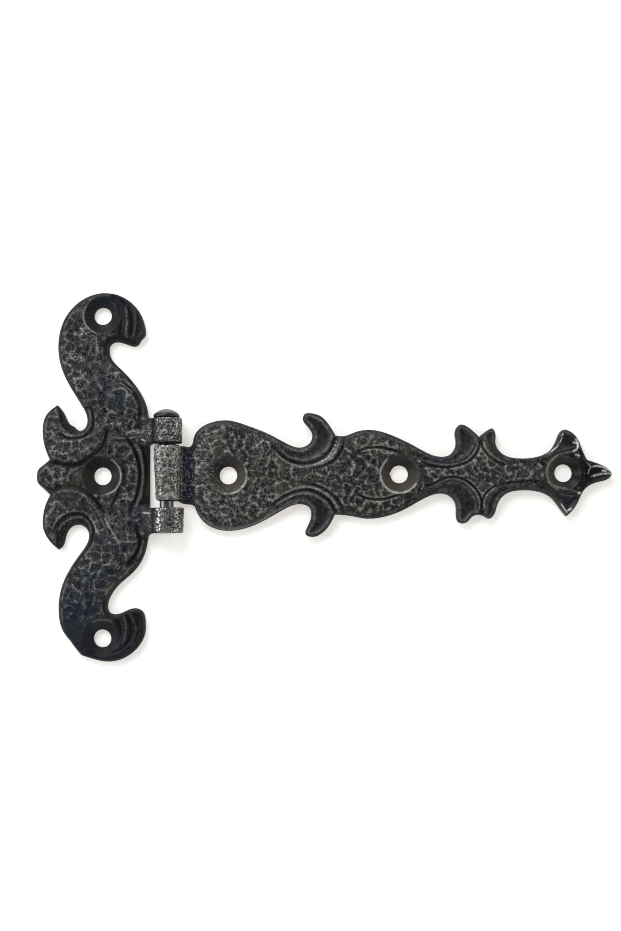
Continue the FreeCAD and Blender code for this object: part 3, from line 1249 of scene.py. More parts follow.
@dataclass(frozen=True)
class PinSteel:
    """Steel pin: its head blackened and handled, black where it meets the knuckle and along the upper shank
    as painted shade, its lower shank bare and turned.
    """

    name: str
    bare: Colour = (0.20, 0.205, 0.22, 1.0)
    scored: Colour = (0.14, 0.14, 0.15, 1.0)
    # black: painted shade, on the upper shank and at the head's foot
    black: Colour = (0.004, 0.0045, 0.006, 1.0)
    head_coat: Colour = (0.115, 0.117, 0.118, 1.0)
    bare_to: float = -7.0
    head_from: float = 18.9
    crest_from: float = 0.25
    crest_full: float = 0.9
    roughness: float = 0.34
    metal: float = 0.95
    specular: float = 0.5
    pit_bite: float = 0.3
    pit_depth: float = 0.05

    def build(self, groups: SharedGroups) -> Material:
        """Make the material.

        Args:
            groups: The shared node groups.

        Returns:
            The material.
        """
        bench = Bench(self.name, groups, self.crest_from, self.crest_full)
        along = bench.node("ShaderNodeSeparateXYZ", {0: bench.place}).outputs[1]
        # above the bare part: black along the upper shank and up to the head's foot, painted shade in the gap
        # and at the junction, then the head's grey coat
        coat_and_shade = bench.ramp(along, self.bare_to - 0.5, self.bare_to + 0.5)
        coat = bench.mix(bench.ramp(along, self.head_from, self.head_from + 0.7), self.black, self.head_coat)
        coat = bench.mix(bench.times(bench.rubbed, 0.7), coat, self.bare)
        lines = bench.noise(bench.vector("MULTIPLY", bench.place, (0.6, 9.0, 0.6)), 1.0)
        turned = bench.mix(bench.ramp(lines, 0.35, 0.75), self.bare, self.scored)
        rough = bench.plus(self.roughness, bench.times(coat_and_shade, 0.06))
        metal = bench.less(self.metal, bench.times(coat_and_shade, 0.8))
        return bench.surface(bench.mix(coat_and_shade, turned, coat), rough, metal, self.specular, self.pit_bite,
                             self.pit_depth)


# --- the hinge's line


@dataclass(frozen=True)
class PinLine:
    """Where the pin lies, read from the frame."""

    x: float
    z: float
    low: float
    high: float

    @classmethod
    def from_frame(cls) -> "PinLine":
        """Read the pin's place from its CAD box."""
        low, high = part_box("hinge_pin")
        return cls((low.x + high.x) / 2 / MM, (low.z + high.z) / 2 / MM, low.y / MM, high.y / MM)


@dataclass(frozen=True)
class Knuckle:
    """One rounded barrel of the hinge.

    Its ends may keep a black band, painted shade from the gap beside them; it is rubbed bare from a given x
    towards +X, while the side towards the plate stays dark as painted shade from the neck.
    """

    low: float
    high: float
    radius: float
    low_round: float = 0.5
    high_round: float = 0.5
    swell: float = 0.0
    swell_at: float = 0.0
    swell_reach: float = 5.0
    aside: float = 0.0
    stretch: float = 1.0
    gap_shade_low: float = 0.0
    gap_shade_high: float = 0.0
    neck_shade_to: float = 0.0
    rubbed: float = 1.0

    def unstretched(self, x: Array, pin: PinLine) -> Array:
        """Where x would lie if the barrel were round and centred on the pin."""
        return pin.x + (x - pin.x - self.aside) / self.stretch

    def cover(self, points: Array, pin: PinLine) -> Array:
        """Share of each point that lies on the barrel."""
        reach = np.hypot((points[:, 0] - pin.x - self.aside) / self.stretch, points[:, 2] - pin.z)
        spans = (points[:, 1] > self.low - 0.05) & (points[:, 1] < self.high + 0.05)
        return (1.0 - smoothstep(self.radius + 0.15, self.radius + 0.9, reach)) * spans

    def painted_shade_bands(self, points: Array) -> tuple[Array, Array]:
        """How far each point lies in a black end band of painted gap shade, and how far it is kept dark,
        counting the side towards the plate, as painted shade.
        """
        low, high = self.low + self.gap_shade_low, self.high - self.gap_shade_high
        # black end bands: painted shade in the gaps between the knuckles
        ends = np.maximum((1.0 - smoothstep(low, low + 0.25, points[:, 1])) * (self.gap_shade_low > 0.0),
                          smoothstep(high - 0.25, high, points[:, 1]) * (self.gap_shade_high > 0.0))
        # dark towards the plate: painted shade from the neck, kept clear of rubbed grain
        left = 1.0 - smoothstep(self.neck_shade_to - 2.0, self.neck_shade_to + 1.0, points[:, 0])
        return ends, np.maximum(ends, left)

    def profile(self, pitch: float = 0.27) -> list[Point]:
        """Radius against y, from the axis at one end to the axis at the other.

        Args:
            pitch: Step along the barrel.

        Returns:
            The rows, radius first.
        """
        inner, ring, quarter = 1.2, 0.35, np.linspace(0.0, 0.5 * math.pi, 7)
        flat_low, flat_high = self.radius - self.low_round, self.radius - self.high_round
        start, stop = self.low + self.low_round, self.high - self.high_round
        rows: list[Point] = [(0.0, self.low), (inner, self.low)]
        # How far each point lies on the lit side of the hole, from 0 to 1.
        rows += [(r, self.low) for r in np.arange(inner + 0.4, flat_low, ring)]
        rows += [(flat_low + self.low_round * math.sin(a), self.low + self.low_round * (1 - math.cos(a)))
                 for a in quarter]
        steps = int((stop - start) / pitch) + 2
        rows += [(self.radius, float(y)) for y in np.linspace(start, stop, steps)[1:-1]]
        rows += [(flat_high + self.high_round * math.cos(a), self.high - self.high_round * (1 - math.sin(a)))
                 for a in quarter]
        rows += [(r, self.high) for r in np.arange(flat_high - 0.3, inner + 0.2, -ring)]
        rows += [(inner, self.high), (0.0, self.high)]
        return [(r - self.swell * (1.0 - math.exp(-((y - self.swell_at) / self.swell_reach) ** 2))
                 * min(r / self.radius, 1.0), y) for r, y in rows]

    def build(self, name: str, pin: PinLine) -> Thing:
        """Make the solid barrel, a little wider than it is high.

        Args:
            name: Name of the object.
            pin: The pin's line.

        Returns:
            The barrel.
        """
        barrel = lathe(name, self.profile(), (0.0, pin.z), 96)
        barrel.data.transform(Matrix.Diagonal((self.stretch, 1.0, 1.0, 1.0)))
        barrel.data.transform(Matrix.Translation((pin.x + self.aside, 0.0, 0.0)))
        return barrel


def line_object(name: str, strokes: Sequence[Stroke]) -> Thing:
    """Make a wire object of chased lines with a width and a depth at each point.

    Args:
        name: Name of the object.
        strokes: The lines.

    Returns:
        The wires.
    """
    points, edges, widths, depths = [], [], [], []
    for stroke in strokes:
        path = curve_through(stroke.path, 0.35)
        start = len(points)
        share = np.linspace(0.0, 1.0, len(path))
        ease = smoothstep(0.0, stroke.fade, share) * smoothstep(0.0, stroke.fade, 1.0 - share)
        points += [(x, y, 0.0) for x, y in path]
        edges += [(start + i, start + i + 1) for i in range(len(path) - 1)]
        widths += list(stroke.width * (0.45 + 0.55 * ease))
        depths += list(stroke.depth * ease)
    mesh = bpy.data.meshes.new(name)
    mesh.from_pydata(points, edges, [])
    store(mesh, "width", np.array(widths))
    store(mesh, "depth", np.array(depths))
    made = bpy.data.objects.new(name, mesh)
    bpy.context.scene.collection.objects.link(made)
    return made


@dataclass(frozen=True)
class Blush:
    """A soft round patch, of heat-blue colour or of scuffing."""

    x: float
    y: float
    reach: float
    strength: float = 1.0


def patches(blushes: Sequence[Blush], xy: Array) -> Array:
    """How strongly the patches cover each point, from -1 to 1."""
    total = np.zeros(len(xy))
    for b in blushes:
        total += b.strength * np.exp(-np.sum((xy - (b.x, b.y)) ** 2, axis=1) / b.reach ** 2)
    return np.clip(total, -1.0, 1.0)


def dabs(*rows: tuple[float, ...]) -> tuple[Blush, ...]:
    """Patches from rows of x, y, reach and, where it isn't 1, strength."""
    return tuple(Blush(*row) for row in rows)


@dataclass
class CastLeaf:
    """One cast leaf of the hinge: plate, knuckles, chased lines and hammered skin."""

    name: str
    node: str
    body: Body
    slot: Slot
    relief: PlateRelief
    knuckles: tuple[Knuckle, ...]
    grooves: tuple[Stroke, ...]
    beads: tuple[Stroke, ...]
    bright: tuple[Stroke, ...]
    bore: float
    finish: BlackenedIron
    calm: Callable[[Array], Array]
    blushes: tuple[Blush, ...]
    scuffs: tuple[Blush, ...]
    polished: tuple[Blush, ...]
    veined: tuple[Blush, ...]
    veined_all: float = 0.8
    grained: float = 0.0
    dent_depth: float = 0.36
    lump_size: float = 1.25
    lump_depth: float = 0.24
    sharp_over: float = 38.0

    def solid(self, pin: PinLine) -> Thing:
        """Make the plate, join the knuckles and drill the pin's hole.

        Args:
            pin: The pin's line.

        Returns:
            The bare leaf.
        """
        leaf = PlateMesher(self.relief).build(self.name)
        for i, knuckle in enumerate(self.knuckles):
            combine(leaf, knuckle.build(f"{self.name}_knuckle_{i}", pin), "UNION")
        low = min(k.low for k in self.knuckles) - 1.0
        high = max(k.high for k in self.knuckles) + 1.0
        rows = [(0.0, low), (self.bore, low), (self.bore, high), (0.0, high)]
        combine(leaf, lathe("bore", rows, (pin.x, pin.z), 72), "DIFFERENCE")
        return leaf

    def mark(self, leaf: Thing, pin: PinLine) -> None:
        """Store where the skin is chased, hammered, grained, rubbed or a screw's seat, and where highlights
        and shade are painted.

        Args:
            leaf: The bare leaf.
            pin: The pin's line.
        """
        mesh = leaf.data
        points, normals = vertex_points(mesh), vertex_normals(mesh)
        xy, z = points[:, :2], points[:, 2]
        d = self.relief.outline.distance(xy)
        _, free, cast = self.relief.height(xy, d)
        near, black, coated, rubbed = np.zeros((4, len(points)))
        # black holds the knuckles' end bands, and coated also their side towards the plate: both are painted
        # shade, kept clear of rubbed grain
        for knuckle in self.knuckles:
            cover = knuckle.cover(points, pin)
            ends, kept_dark = knuckle.painted_shade_bands(points)
            near, rubbed = np.maximum(near, cover), np.maximum(rubbed, cover * knuckle.rubbed)
            black, coated = np.maximum(black, cover * ends), np.maximum(coated, cover * kept_dark)
        shell = smoothstep(self.bore + 0.3, self.bore + 0.7, np.hypot(points[:, 0] - pin.x, z - pin.z))
        top = smoothstep(0.3, 0.7, normals[:, 2]) * smoothstep(0.9, 1.4, z)
        side = 1.0 - smoothstep(0.6, 0.9, np.abs(normals[:, 1]))
        away, calm, front = 1.0 - near, self.calm(xy), z > 0.4
        hush = 1.0 - 0.92 * stroke_cover(self.grooves + self.beads, xy, 0.45, 0.0)
        polish = patches(self.polished, xy)
        kept = smoothstep(0.4, 1.0, d) * top * away * (0.45 + 0.55 * cast) * (0.35 + 0.65 * calm)
        seat, shade = np.zeros((2, len(points)))
        for sink in self.relief.sinks:
            r, facing = sink.radius(xy), sink.facing(xy)
            kept *= smoothstep(sink.hole + 0.5, sink.hole + 1.2, r)
            # near the rim, rubbed crests stay mostly on the lit side: a painted highlight along the rim
            kept *= 1.0 - bump(r, sink.mouth + 0.2, 0.9) * (1.0 - sink.rim_glint * (0.3 + 0.7 * facing ** 2))
            # the seat's brown shows on its lit side, and its far side gets painted shade
            ring = 1.0 - smoothstep(sink.mouth - 0.3, sink.mouth + 0.1, r)
            hidden = sink.one_sided * (1.0 - facing)
            seat = np.maximum(seat, ring * (1.0 - hidden) * (1.0 - 0.6 * polish))
            shade = np.maximum(shade, ring * hidden)
        skin = {
            "groove": stroke_cover(self.grooves, xy, 0.0, 0.40) * top * away,
            "ridge": stroke_cover(self.beads, xy, 0.0, 0.20) * top * away * smoothstep(0.5, 1.0, d),
            "chase": top * away,
            "hammer": top * away * free * hush * calm,
            "grain": shell * side * front * rubbed * (1.0 - coated),
            "lumps": np.maximum(near * shell * side * front, self.grained * top * away * free * hush * calm),
            "inland": np.maximum(kept, near * shell * side) * (1.0 - 0.8 * coated),
            # edge: a thin band just inside the outline, for a painted sheen
            "edge": bump(d, 0.42, 0.17) * (z > 0.8) * away,
            # bright: scratches rubbed to metal, and painted highlights
            "bright": stroke_cover(self.bright, xy, 0.0, 0.1) * top * away * smoothstep(0.15, 0.4, d),
            "blue": patches(self.blushes, xy) * away,
            "polish": polish,
            "scuff": patches(self.scuffs, xy) * top * away * smoothstep(0.5, 1.2, d),
            "seat": seat,
            # shade: painted shade on the seats' far sides and in the knuckles' end bands
            "shade": np.maximum(shade, 0.7 * black),
            "veins": np.clip(self.veined_all + patches(self.veined, xy), 0.0, 1.0),
        }
        for key, values in skin.items():
            store(mesh, key, values)

    def build(self, pin: PinLine, lines: Tree, skin: Tree,
              groups: SharedGroups) -> Thing:
        """Make the finished leaf.

        Args:
            pin: Where the pin lies.
            lines: The chased-line tree.
            skin: The hammered-skin tree.
            groups: The shader groups of the finish.

        Returns:
            The finished object, in metres, riding on its body.
        """
        material = self.finish.build(groups)
        leaf = self.solid(pin)
        self.mark(leaf, pin)
        for label, strokes in (("grooves", self.grooves), ("beads", self.beads)):
            wires = line_object(f"{self.name}_{label}", strokes)
            run_tree(leaf, lines, {"Lines": wires, "Strength": 1.0, "Material": material})
            discard(wires)
        run_tree(leaf, skin, {
            "Dent size": self.finish.dent_size, "Dent depth": self.dent_depth, "Lump size": self.lump_size,
            "Lump depth": self.lump_depth, "Seed": self.finish.seed, "Material": material})
        finish_piece(leaf, self.sharp_over, self.body, self.node)
        return leaf


def finish_piece(thing: Thing, sharp_over: float, body: Body, node: str) -> None:
    """Finish a piece's mesh and tell the frame about it.

    Args:
        thing: The piece, drawn in millimetres.
        sharp_over: Angle in degrees from which an edge stays sharp.
        body: The body it rides on.
        node: The CAD node it stands for.
    """
    mesh = thing.data
    store_wear_and_shade(mesh)
    mesh.transform(Matrix.Scale(MM, 4))
    mesh.shade_smooth()
    mesh.set_sharp_from_angle(angle=math.radians(sharp_over))
    mesh.update()
    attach(thing, body.value)
    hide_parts(node)
    LOG.info("%s: %d faces", thing.name, len(mesh.polygons))


# --- frame leaf


FRAME_OUTLINE: tuple[Run, ...] = (
    ((-18.8, -3.3), (-20.2, -1.8), (-20.45, 0.2), (-20.1, 2.1), (-18.7, 3.5), (-16.5, 5.3)),
    ((-18, 9.2), (-18.7, 13.8), (-17.9, 18.6), (-16.2, 20.8), (-14.1, 22.3)),
    ((-12.3, 20), (-11.2, 17.7), (-10.1, 16.2), (-8.8, 15.4), (-8, 14.6), (-7, 14.3), (-5.4, 15.4),
     (-4.9, 18.2), (-6.5, 22.1), (-11.3, 30.2), (-13.5, 36.3), (-13.9, 41.5), (-12.4, 48.4), (-8, 54.2),
     (-1, 57.35), (6, 56.2), (11.1, 51.9), (13.25, 46.2), (13.1, 43.7), (11.9, 42.4), (11.2, 41.2),
     (10, 40.6), (8.2, 41), (6.2, 41.7), (4.1, 42), (2.4, 41), (2, 39.2), (2.5, 37.1), (5.5, 33.6),
     (9.6, 29.1), (12.4, 24.8), (13.8, 21), (14.2, 18.7)),
    ((14.6, 18.1), (15.3, 17.85)),
    ((20.2, 17.85),),
    ((20.2, 9.95),),
    ((16.2, 9.95),),
    ((15.2, 9.75), (14.75, 9.3)),
    ((14.7, -9.95),),
    ((20.2, -9.95),),
    ((20.2, -17.85),),
    ((15.6, -17.85),),
    ((14.7, -18.2), (14.2, -19)),
    ((13.9, -20.8), (12.7, -25), (9.6, -29.7), (5.2, -33.6), (2.3, -37.6), (1.6, -40.2), (2.3, -42.3),
     (4.1, -42.8), (7, -41.9), (10.2, -41), (12.4, -42), (13.3, -45), (13.1, -49), (10.8, -53.2),
     (6.4, -56.4), (1.6, -57.3), (-3.4, -56.3), (-6.4, -55.3)),
    ((-8.2, -53.2), (-9.8, -51)),
    ((-12.3, -47.6), (-13.5, -42.5), (-13, -35.8), (-10.5, -29.4), (-6.6, -23.6), (-4.4, -19.7), (-4.5, -17),
     (-7.1, -15.1), (-10, -16), (-11.5, -18.9), (-12.5, -21.8), (-13.6, -22.7)),
    ((-16.3, -20.1), (-18.2, -16.8), (-18.5, -12.5), (-17.5, -8.2), (-16.3, -5.7)),
)


def neck_rise(x: Array, pin: PinLine, radius: float, plate: float, fillet: float, side: float) -> Array:
    """Height that the hollow fillet between a plate and its knuckle adds over the plate.

    Args:
        x: Place of each point across the pin.
        pin: The pin's line.
        radius: The knuckle's radius.
        plate: The plate's thickness.
        fillet: Radius of the hollow.
        side: -1 left of the pin, 1 right of it.

    Returns:
        The added heights.
    """
    rise = pin.z - plate - fillet
    run = math.sqrt((radius + fillet) ** 2 - rise ** 2)
    share = radius / (radius + fillet)
    start = pin.x + side * run
    t = np.clip((start - x) * side, 0.0, run * (1.0 - share))
    return fillet - np.sqrt(np.maximum(fillet ** 2 - t ** 2, 0.0))


@dataclass
class FrameLeafDesign:
    """The upright scrolled leaf: two side leaves, a blunt point, two curls and two knuckles."""

    pin: PinLine
    thickness: float = 2.85
    knuckle_radius: float = 4.03
    fillet: float = 8.0

    def extra(self, xy: Array) -> Array:
        """Necks up to the knuckles, and the point that lies lower than the side leaves.

        Args:
            xy: The points.

        Returns:
            The added heights.
        """
        y = np.abs(xy[:, 1])
        upper, lower = (knuckle.unstretched(xy[:, 0], self.pin) for knuckle in self.knuckles())
        neck = neck_rise(np.where(xy[:, 1] > 0.0, upper, lower), self.pin, self.knuckle_radius,
                         self.thickness, self.fillet, -1.0)
        neck *= smoothstep(8.6, 10.2, y) * (1.0 - smoothstep(17.6, 19.4, y))
        point = ((-24, 4.6), (-16.4, 4.9), (-14.8, 4.4), (-11.5, 3.6), (-8.6, 3.3), (-5.7, 4.2), (-3.2, 5.8),
                 (0, 5.8), (0, -5.8), (-3.2, -6), (-5.3, -4.7), (-7.3, -3.8), (-10.7, -3.3), (-14, -3.8),
                 (-16.4, -5), (-24, -4.6))
        side = border_sides(xy, point)[1]
        sunk = 0.42 * smoothstep(-0.3, 0.5, side) - 0.22 * smoothstep(0.6, 3.0, side)
        spine = (0.16 * bump(xy[:, 0] + 2.1, 0.0, 1.1) * smoothstep(16.0, 19.0, xy[:, 1])
                 * (1.0 - smoothstep(24.0, 28.0, xy[:, 1])))
        return neck - sunk + spine

    def knuckles(self) -> tuple[Knuckle, Knuckle]:
        """The upper and the lower knuckle."""
        return (Knuckle(9.82, 17.85, self.knuckle_radius, high_round=0.45, aside=0.25, stretch=1.13,
                        gap_shade_low=0.4, neck_shade_to=18.2),
                Knuckle(-17.85, -9.95, self.knuckle_radius, low_round=0.55, high_round=0.4, swell=0.05,
                        swell_at=-12.0, aside=0.45, stretch=1.19, neck_shade_to=17.9, rubbed=1.6))

    def panels(self) -> tuple[Panel, ...]:
        """The smooth ends of the two curls, right of their outer grooves."""
        upper = ((2.7, 60), (2.7, 56.6), (6.2, 55.1), (8.4, 52.1), (9.2, 49.2), (9.2, 46.2), (8.6, 43.3),
                 (8, 38), (16, 38), (18, 60))
        lower = ((7, -38), (7.3, -42.8), (8.7, -45.9), (8.9, -48.8), (7.7, -51.8), (5.2, -53.8), (2.7, -55),
                 (1.5, -60), (18, -60), (16, -38))
        return (Panel(upper, 2.62, dish=0.18, rim=0.10, rim_at=0.85),
                Panel(lower, 2.50, dish=0.22, rim=0.10, rim_at=0.85))

    def bevels(self) -> tuple[Bevel, ...]:
        """The smooth bands round the two notches and under the upper curl."""
        upper = ((-14, 20.6), (-13.3, 17.9), (-12.8, 15.8), (-11.1, 13.8), (-8.6, 12.5), (-6.1, 12.9),
                 (-4.4, 14.6), (-3.5, 17.1), (-3.4, 19.6), (-4.6, 22), (-7, 21), (-9, 19), (-12.4, 23))
        lower = ((-14.4, -21.5), (-14.2, -16.8), (-13.6, -14.7), (-11.9, -12.6), (-9.4, -11.5), (-6.9, -11.7),
                 (-4.8, -13), (-3.4, -14.9), (-2.6, -16.8), (-3, -19.3), (-4, -21.8), (-5.7, -23.8),
                 (-7.6, -26.6), (-9.5, -30), (-14, -31), (-9.5, -21), (-8, -19), (-12, -24))
        curl = ((0.2, 37.5), (0.4, 41), (1.6, 43.4), (4, 44.2), (6.2, 43.7), (8.4, 42.9), (10.2, 42.3),
                (11.4, 41.6), (10, 38), (4, 38))
        curl_low = ((0, -38.5), (0.2, -41), (1.6, -44), (4, -44.8), (6, -44), (6.5, -40), (3, -37.5))
        return (Bevel(upper, 2.75, 0.95, 0.1), Bevel(lower, 2.75, 0.85, 0.1), Bevel(curl, 2.7, 0.8, bead=0.0),
                Bevel(curl_low, 2.6, 0.5, bead=0.0))

    def grooves(self) -> tuple[Stroke, ...]:
        """The lines cut into the leaf."""
        return (
            # feathers of the upper and lower curls
            Stroke(((2.3, 56), (4.6, 54.1), (5.7, 50.8), (6, 47.5), (5.6, 44.4)), 0.6, 0.42, 0.12),
            Stroke(((2.7, 56.6), (6, 55), (8.3, 52.1), (9.1, 49.2), (9.1, 46.2), (8.5, 43)), 0.55, 0.48, 0.1),
            Stroke(((4.6, -44.4), (5.8, -47.2), (5.8, -49.3), (4.8, -51.8)), 0.6, 0.42, 0.15),
            Stroke(((7.2, -42.6), (8.7, -45.9), (8.9, -48.8), (7.7, -51.8), (5.2, -53.8), (2.5, -55)), 0.55,
                0.4, 0.12),
            # edge leaf down the front of each scroll
            Stroke(((6.4, 28.6), (8.9, 26.7), (10.7, 24.4), (11.7, 21.7), (11.8, 19.2), (11.3, 16)), 0.62,
                0.45, 0.2),
            Stroke(((10.6, -16.4), (11.7, -19.7), (11.4, -22.2), (10.2, -24.7), (8.1, -27.2)), 0.6, 0.34,
                0.2),
            # under the side leaves, above and below the point
            Stroke(((1.6, 14.2), (0.7, 10.6), (-1.1, 7.9), (-3.2, 6.3), (-5.7, 4.7), (-8.6, 3.7),
                (-11.5, 3.9), (-16, 5)), 0.62, 0.34, 0.1),
            Stroke(((-16.3, -5.3), (-14, -4.1), (-10.7, -3.6), (-7.3, -4.1), (-5.3, -5), (-3.2, -6.4),
                (-1.1, -8.6), (0.6, -11.2)), 0.58, 0.34, 0.1),
            # crescent between the middle hole and the knuckles
            Stroke(((7.2, 12.4), (8.5, 10.8), (10.1, 8), (11.3, 4.6), (11.8, 1), (11.7, -2.2), (11, -5.5),
                (9.7, -8.8), (8.8, -10.4)), 0.6, 0.5, 0.12),
            Stroke(((12, 10.5), (13, 7), (13.7, 2), (13.6, -3), (12.8, -8)), 0.5, 0.25, 0.2),
            Stroke(((5.4, -3.8), (4.6, -6.2), (3.4, -8.6), (2.6, -11.6)), 0.5, 0.28, 0.3),
            Stroke(((6.4, 3.6), (7, 0.8), (6.6, -2.6)), 0.4, 0.2, 0.35),
            # outer borders of the two notch cords
            Stroke(((-12.6, 13.2), (-11.2, 12), (-9, 11.8), (-6.4, 12.1), (-4.4, 13.3), (-3.1, 14.9),
                (-2.75, 17.2), (-2.9, 19.4), (-3.6, 21.4)), 0.4, 0.3, 0.15),
            Stroke(((-14.7, -17.4), (-14.4, -15.9), (-13.5, -14.3), (-12.1, -12.8), (-10.1, -11.8),
                (-7.9, -11.5), (-5.6, -12.1), (-3.7, -13.8), (-2.75, -15.7), (-2.6, -17.6), (-3.4, -20.2),
                (-5, -22.8), (-6.9, -25.3), (-8.5, -27.9)), 0.45, 0.34, 0.12),
        )

    def beads(self) -> tuple[Stroke, ...]:
        """The thin raised lines beside the grooves."""
        return (
            Stroke(((7.4, 53.6), (7.6, 50.5), (7.7, 47), (7.2, 44)), 0.3, -0.16, 0.2),
            Stroke(((8.6, 54.4), (10.1, 51.4), (10.4, 47.9), (9.8, 43.6)), 0.24, -0.1, 0.2),
            Stroke(((12.2, 50.2), (12.6, 47.2), (12.3, 44.2)), 0.2, -0.05, 0.2),
            Stroke(((6.8, -43), (7.4, -46), (7.4, -48.9), (6.4, -51.6)), 0.26, -0.1, 0.2),
            Stroke(((8.6, -42.4), (10.2, -45.6), (10.3, -48.8), (9, -52)), 0.24, -0.07, 0.2),
            # crests of the two notch cords
            Stroke(((-13.2, 15.2), (-12.3, 13.7), (-10.75, 12.75), (-9, 12.5), (-7.05, 12.7), (-5.1, 13.8),
                (-3.95, 15.3), (-3.6, 17.2), (-3.7, 19.1), (-4.2, 20.7)), 0.34, -0.14, 0.15),
            Stroke(((-13.4, -16.6), (-12.4, -15), (-10.8, -13.75), (-8.8, -12.8), (-6.6, -12.7),
                (-4.7, -13.8), (-3.55, -15.7), (-3.5, -17.6), (-4.3, -19.5), (-5.6, -21.5), (-7.6, -24.1),
                (-9.3, -26.6), (-10.6, -29.2)), 0.3, -0.14, 0.12),
            Stroke(((6.6, 29.8), (8.6, 28.5), (10.4, 27), (12.3, 24.2), (12.9, 21)), 0.3, -0.14, 0.2),
            Stroke(((9.4, 8.9), (10.6, 9.2), (12.2, 5.8), (12.8, 1.7), (12.6, -2.2), (11.5, -6.8),
                (10.2, -10.4)), 0.3, -0.16, 0.15),
            Stroke(((2.6, 11.6), (4.6, 12), (6.8, 11.6), (7.6, 13.4), (7.4, 15.2)), 0.3, -0.16, 0.2),
            Stroke(((7.9, 11.8), (10.2, 12), (12.2, 12.4)), 0.3, -0.12, 0.3),
            Stroke(((10, -10.6), (9.6, -12.6), (11.4, -11.2)), 0.3, -0.14, 0.3),
            Stroke(((-4.6, -7.6), (-2.4, -9.6), (-0.6, -12.4), (0.8, -15.6), (2.2, -18.8)), 0.32, -0.14, 0.3),
            Stroke(((-3, -11), (-1.6, -13.2), (-0.8, -16)), 0.28, -0.12, 0.35),
            Stroke(((-4.9, 4.4), (-2.6, 6.9), (-0.4, 9.6), (0.6, 13)), 0.24, -0.06, 0.35),
        )

    def bright(self) -> tuple[Stroke, ...]:
        """Scratches rubbed down to bright metal, and painted highlights along parts of the three seats' rims.
        """
        return (
            Stroke(((12.4, 11.3), (13.4, 10.8)), 0.2, 0.06),
            Stroke(((12.8, -11.4), (13.9, -11.5), (14.9, -11.7)), 0.2, 0.06),
            Stroke(((0.8, -12.9), (2.2, -15.6), (3.4, -17.6), (4.4, -19.4)), 0.16, 0.035),
            Stroke(((-3.7, -12.9), (-2.6, -14.6), (-1.8, -16.8)), 0.18, 0.035),
            Stroke(((-6.4, 46.2), (-5.4, 44.8), (-4.8, 44.1)), 0.16, 0.04),
            Stroke(((-9.9, 37.6), (-8.8, 36.2), (-7.6, 36.6)), 0.16, 0.03),
            Stroke(((5.9, 28.9), (7.4, 27.8), (9.2, 26.2)), 0.16, 0.03),
            rim_highlight_line(0.0, 50.2, 5.9, 150.0, 250.0, 0.20),
            rim_highlight_line(0.0, 0.0, 5.9, -75.0, 60.0, 0.32),
            rim_highlight_line(0.0, -50.2, 5.9, 60.0, 120.0, 0.15),
        )

    def calm(self, xy: Array) -> Array:
        """Share of the hammering kept at each point: less on the necks and the lowest curl."""
        neck = smoothstep(12.0, 14.0, xy[:, 0])
        low_curl = 0.85 * smoothstep(-41.0, -49.0, xy[:, 1])
        feather = smoothstep(2.5, 5.5, xy[:, 0]) * smoothstep(43.0, 45.0, np.abs(xy[:, 1]))
        return (1.0 - 0.75 * neck) * (1.0 - low_curl) * (1.0 - 0.95 * feather)

    def leaf(self) -> CastLeaf:
        """Gather the leaf's parts."""
        pitch = 50.2
        sinks = tuple(Countersink(0.0, y, 1.35, bow=1.25, lit_side=side, rim_glint=glint, one_sided=0.4)
                      for y, side, glint in ((-pitch, 80.0, 0.45), (0.0, -40.0, 1.0), (pitch, 205.0, 1.0)))
        relief = PlateRelief(
            Outline(FRAME_OUTLINE), edge_level=2.25, crown=0.62, crown_reach=2.2, panels=self.panels(),
            bevels=self.bevels(), sinks=sinks, extra=self.extra, plain_edge=(0.55, 1.5))
        return CastLeaf(
            "frame_leaf_casting", "frame_leaf", Body.FRAME, Slot.FRAME_IRON, relief, self.knuckles(),
            self.grooves(), self.beads(), self.bright(), bore=2.17,
            finish=BlackenedIron("frame_leaf_blackened_iron", dent_size=2.85, seed=3.7), calm=self.calm,
            blushes=dabs((-8, -41, 6), (-2.5, -30, 3.5), (6, 23.5, 3), (-9, -48, 6, 0.6), (2, -22, 4, 0.7),
                         (0, 29, 5, 0.4), (-8, 35, 4, 0.3), (12, -13, 3, 0.5), (3, 55, 5, 0.5)),
            scuffs=dabs((13, 13.5, 2.5, 0.8), (15.9, 14, 2, 0.9), (15.6, -13.9, 2, 0.8), (-1.5, 33, 5, 0.4),
                        (3.5, -14, 4, 0.5), (-13, 11.5, 5, 0.4), (-12.5, -13.5, 3.8, 0.55)),
            polished=dabs((-8.8, 45, 4.5, 0.7), (-7.7, -43, 4, 0.4)),
            veined=dabs((-9.8, 38, 3.4, 0.9), (-3.1, 40.4, 2.4, 0.9), (-5.6, 45.6, 2, 0.6),
                        (-8.3, 29.3, 3.2, 0.8), (4.1, 31.9, 2.4, 0.9), (7.3, 27.4, 2.6, 0.9),
                        (4.1, 18.3, 3.4, 0.7), (9.3, 13.1, 2.6), (12.5, 14.4, 2.2), (-11.5, 17.7, 3, 0.5),
                        (-9.4, 10, 3.2, 0.9), (-15.2, 10.5, 3.6, 1), (-14.8, -10.6, 3.4), (-2.4, -14.8, 2.4),
                        (2.1, -17.4, 2.4), (7.3, -19.4, 2.4, 0.9), (0.2, -26.5, 3, 0.8),
                        (-5.7, -28.5, 2.4, 0.7), (-1.8, -34.3, 2, 0.3), (-9.6, -34.6, 2.4, 0.6),
                        (6.5, -7, 2.8, 0.8), (8, 3, 3, 0.6), (-14, 0, 3, 0.5), (5, 38, 2, 0.6)),
            veined_all=0.18, grained=0.15)


# --- strap leaf


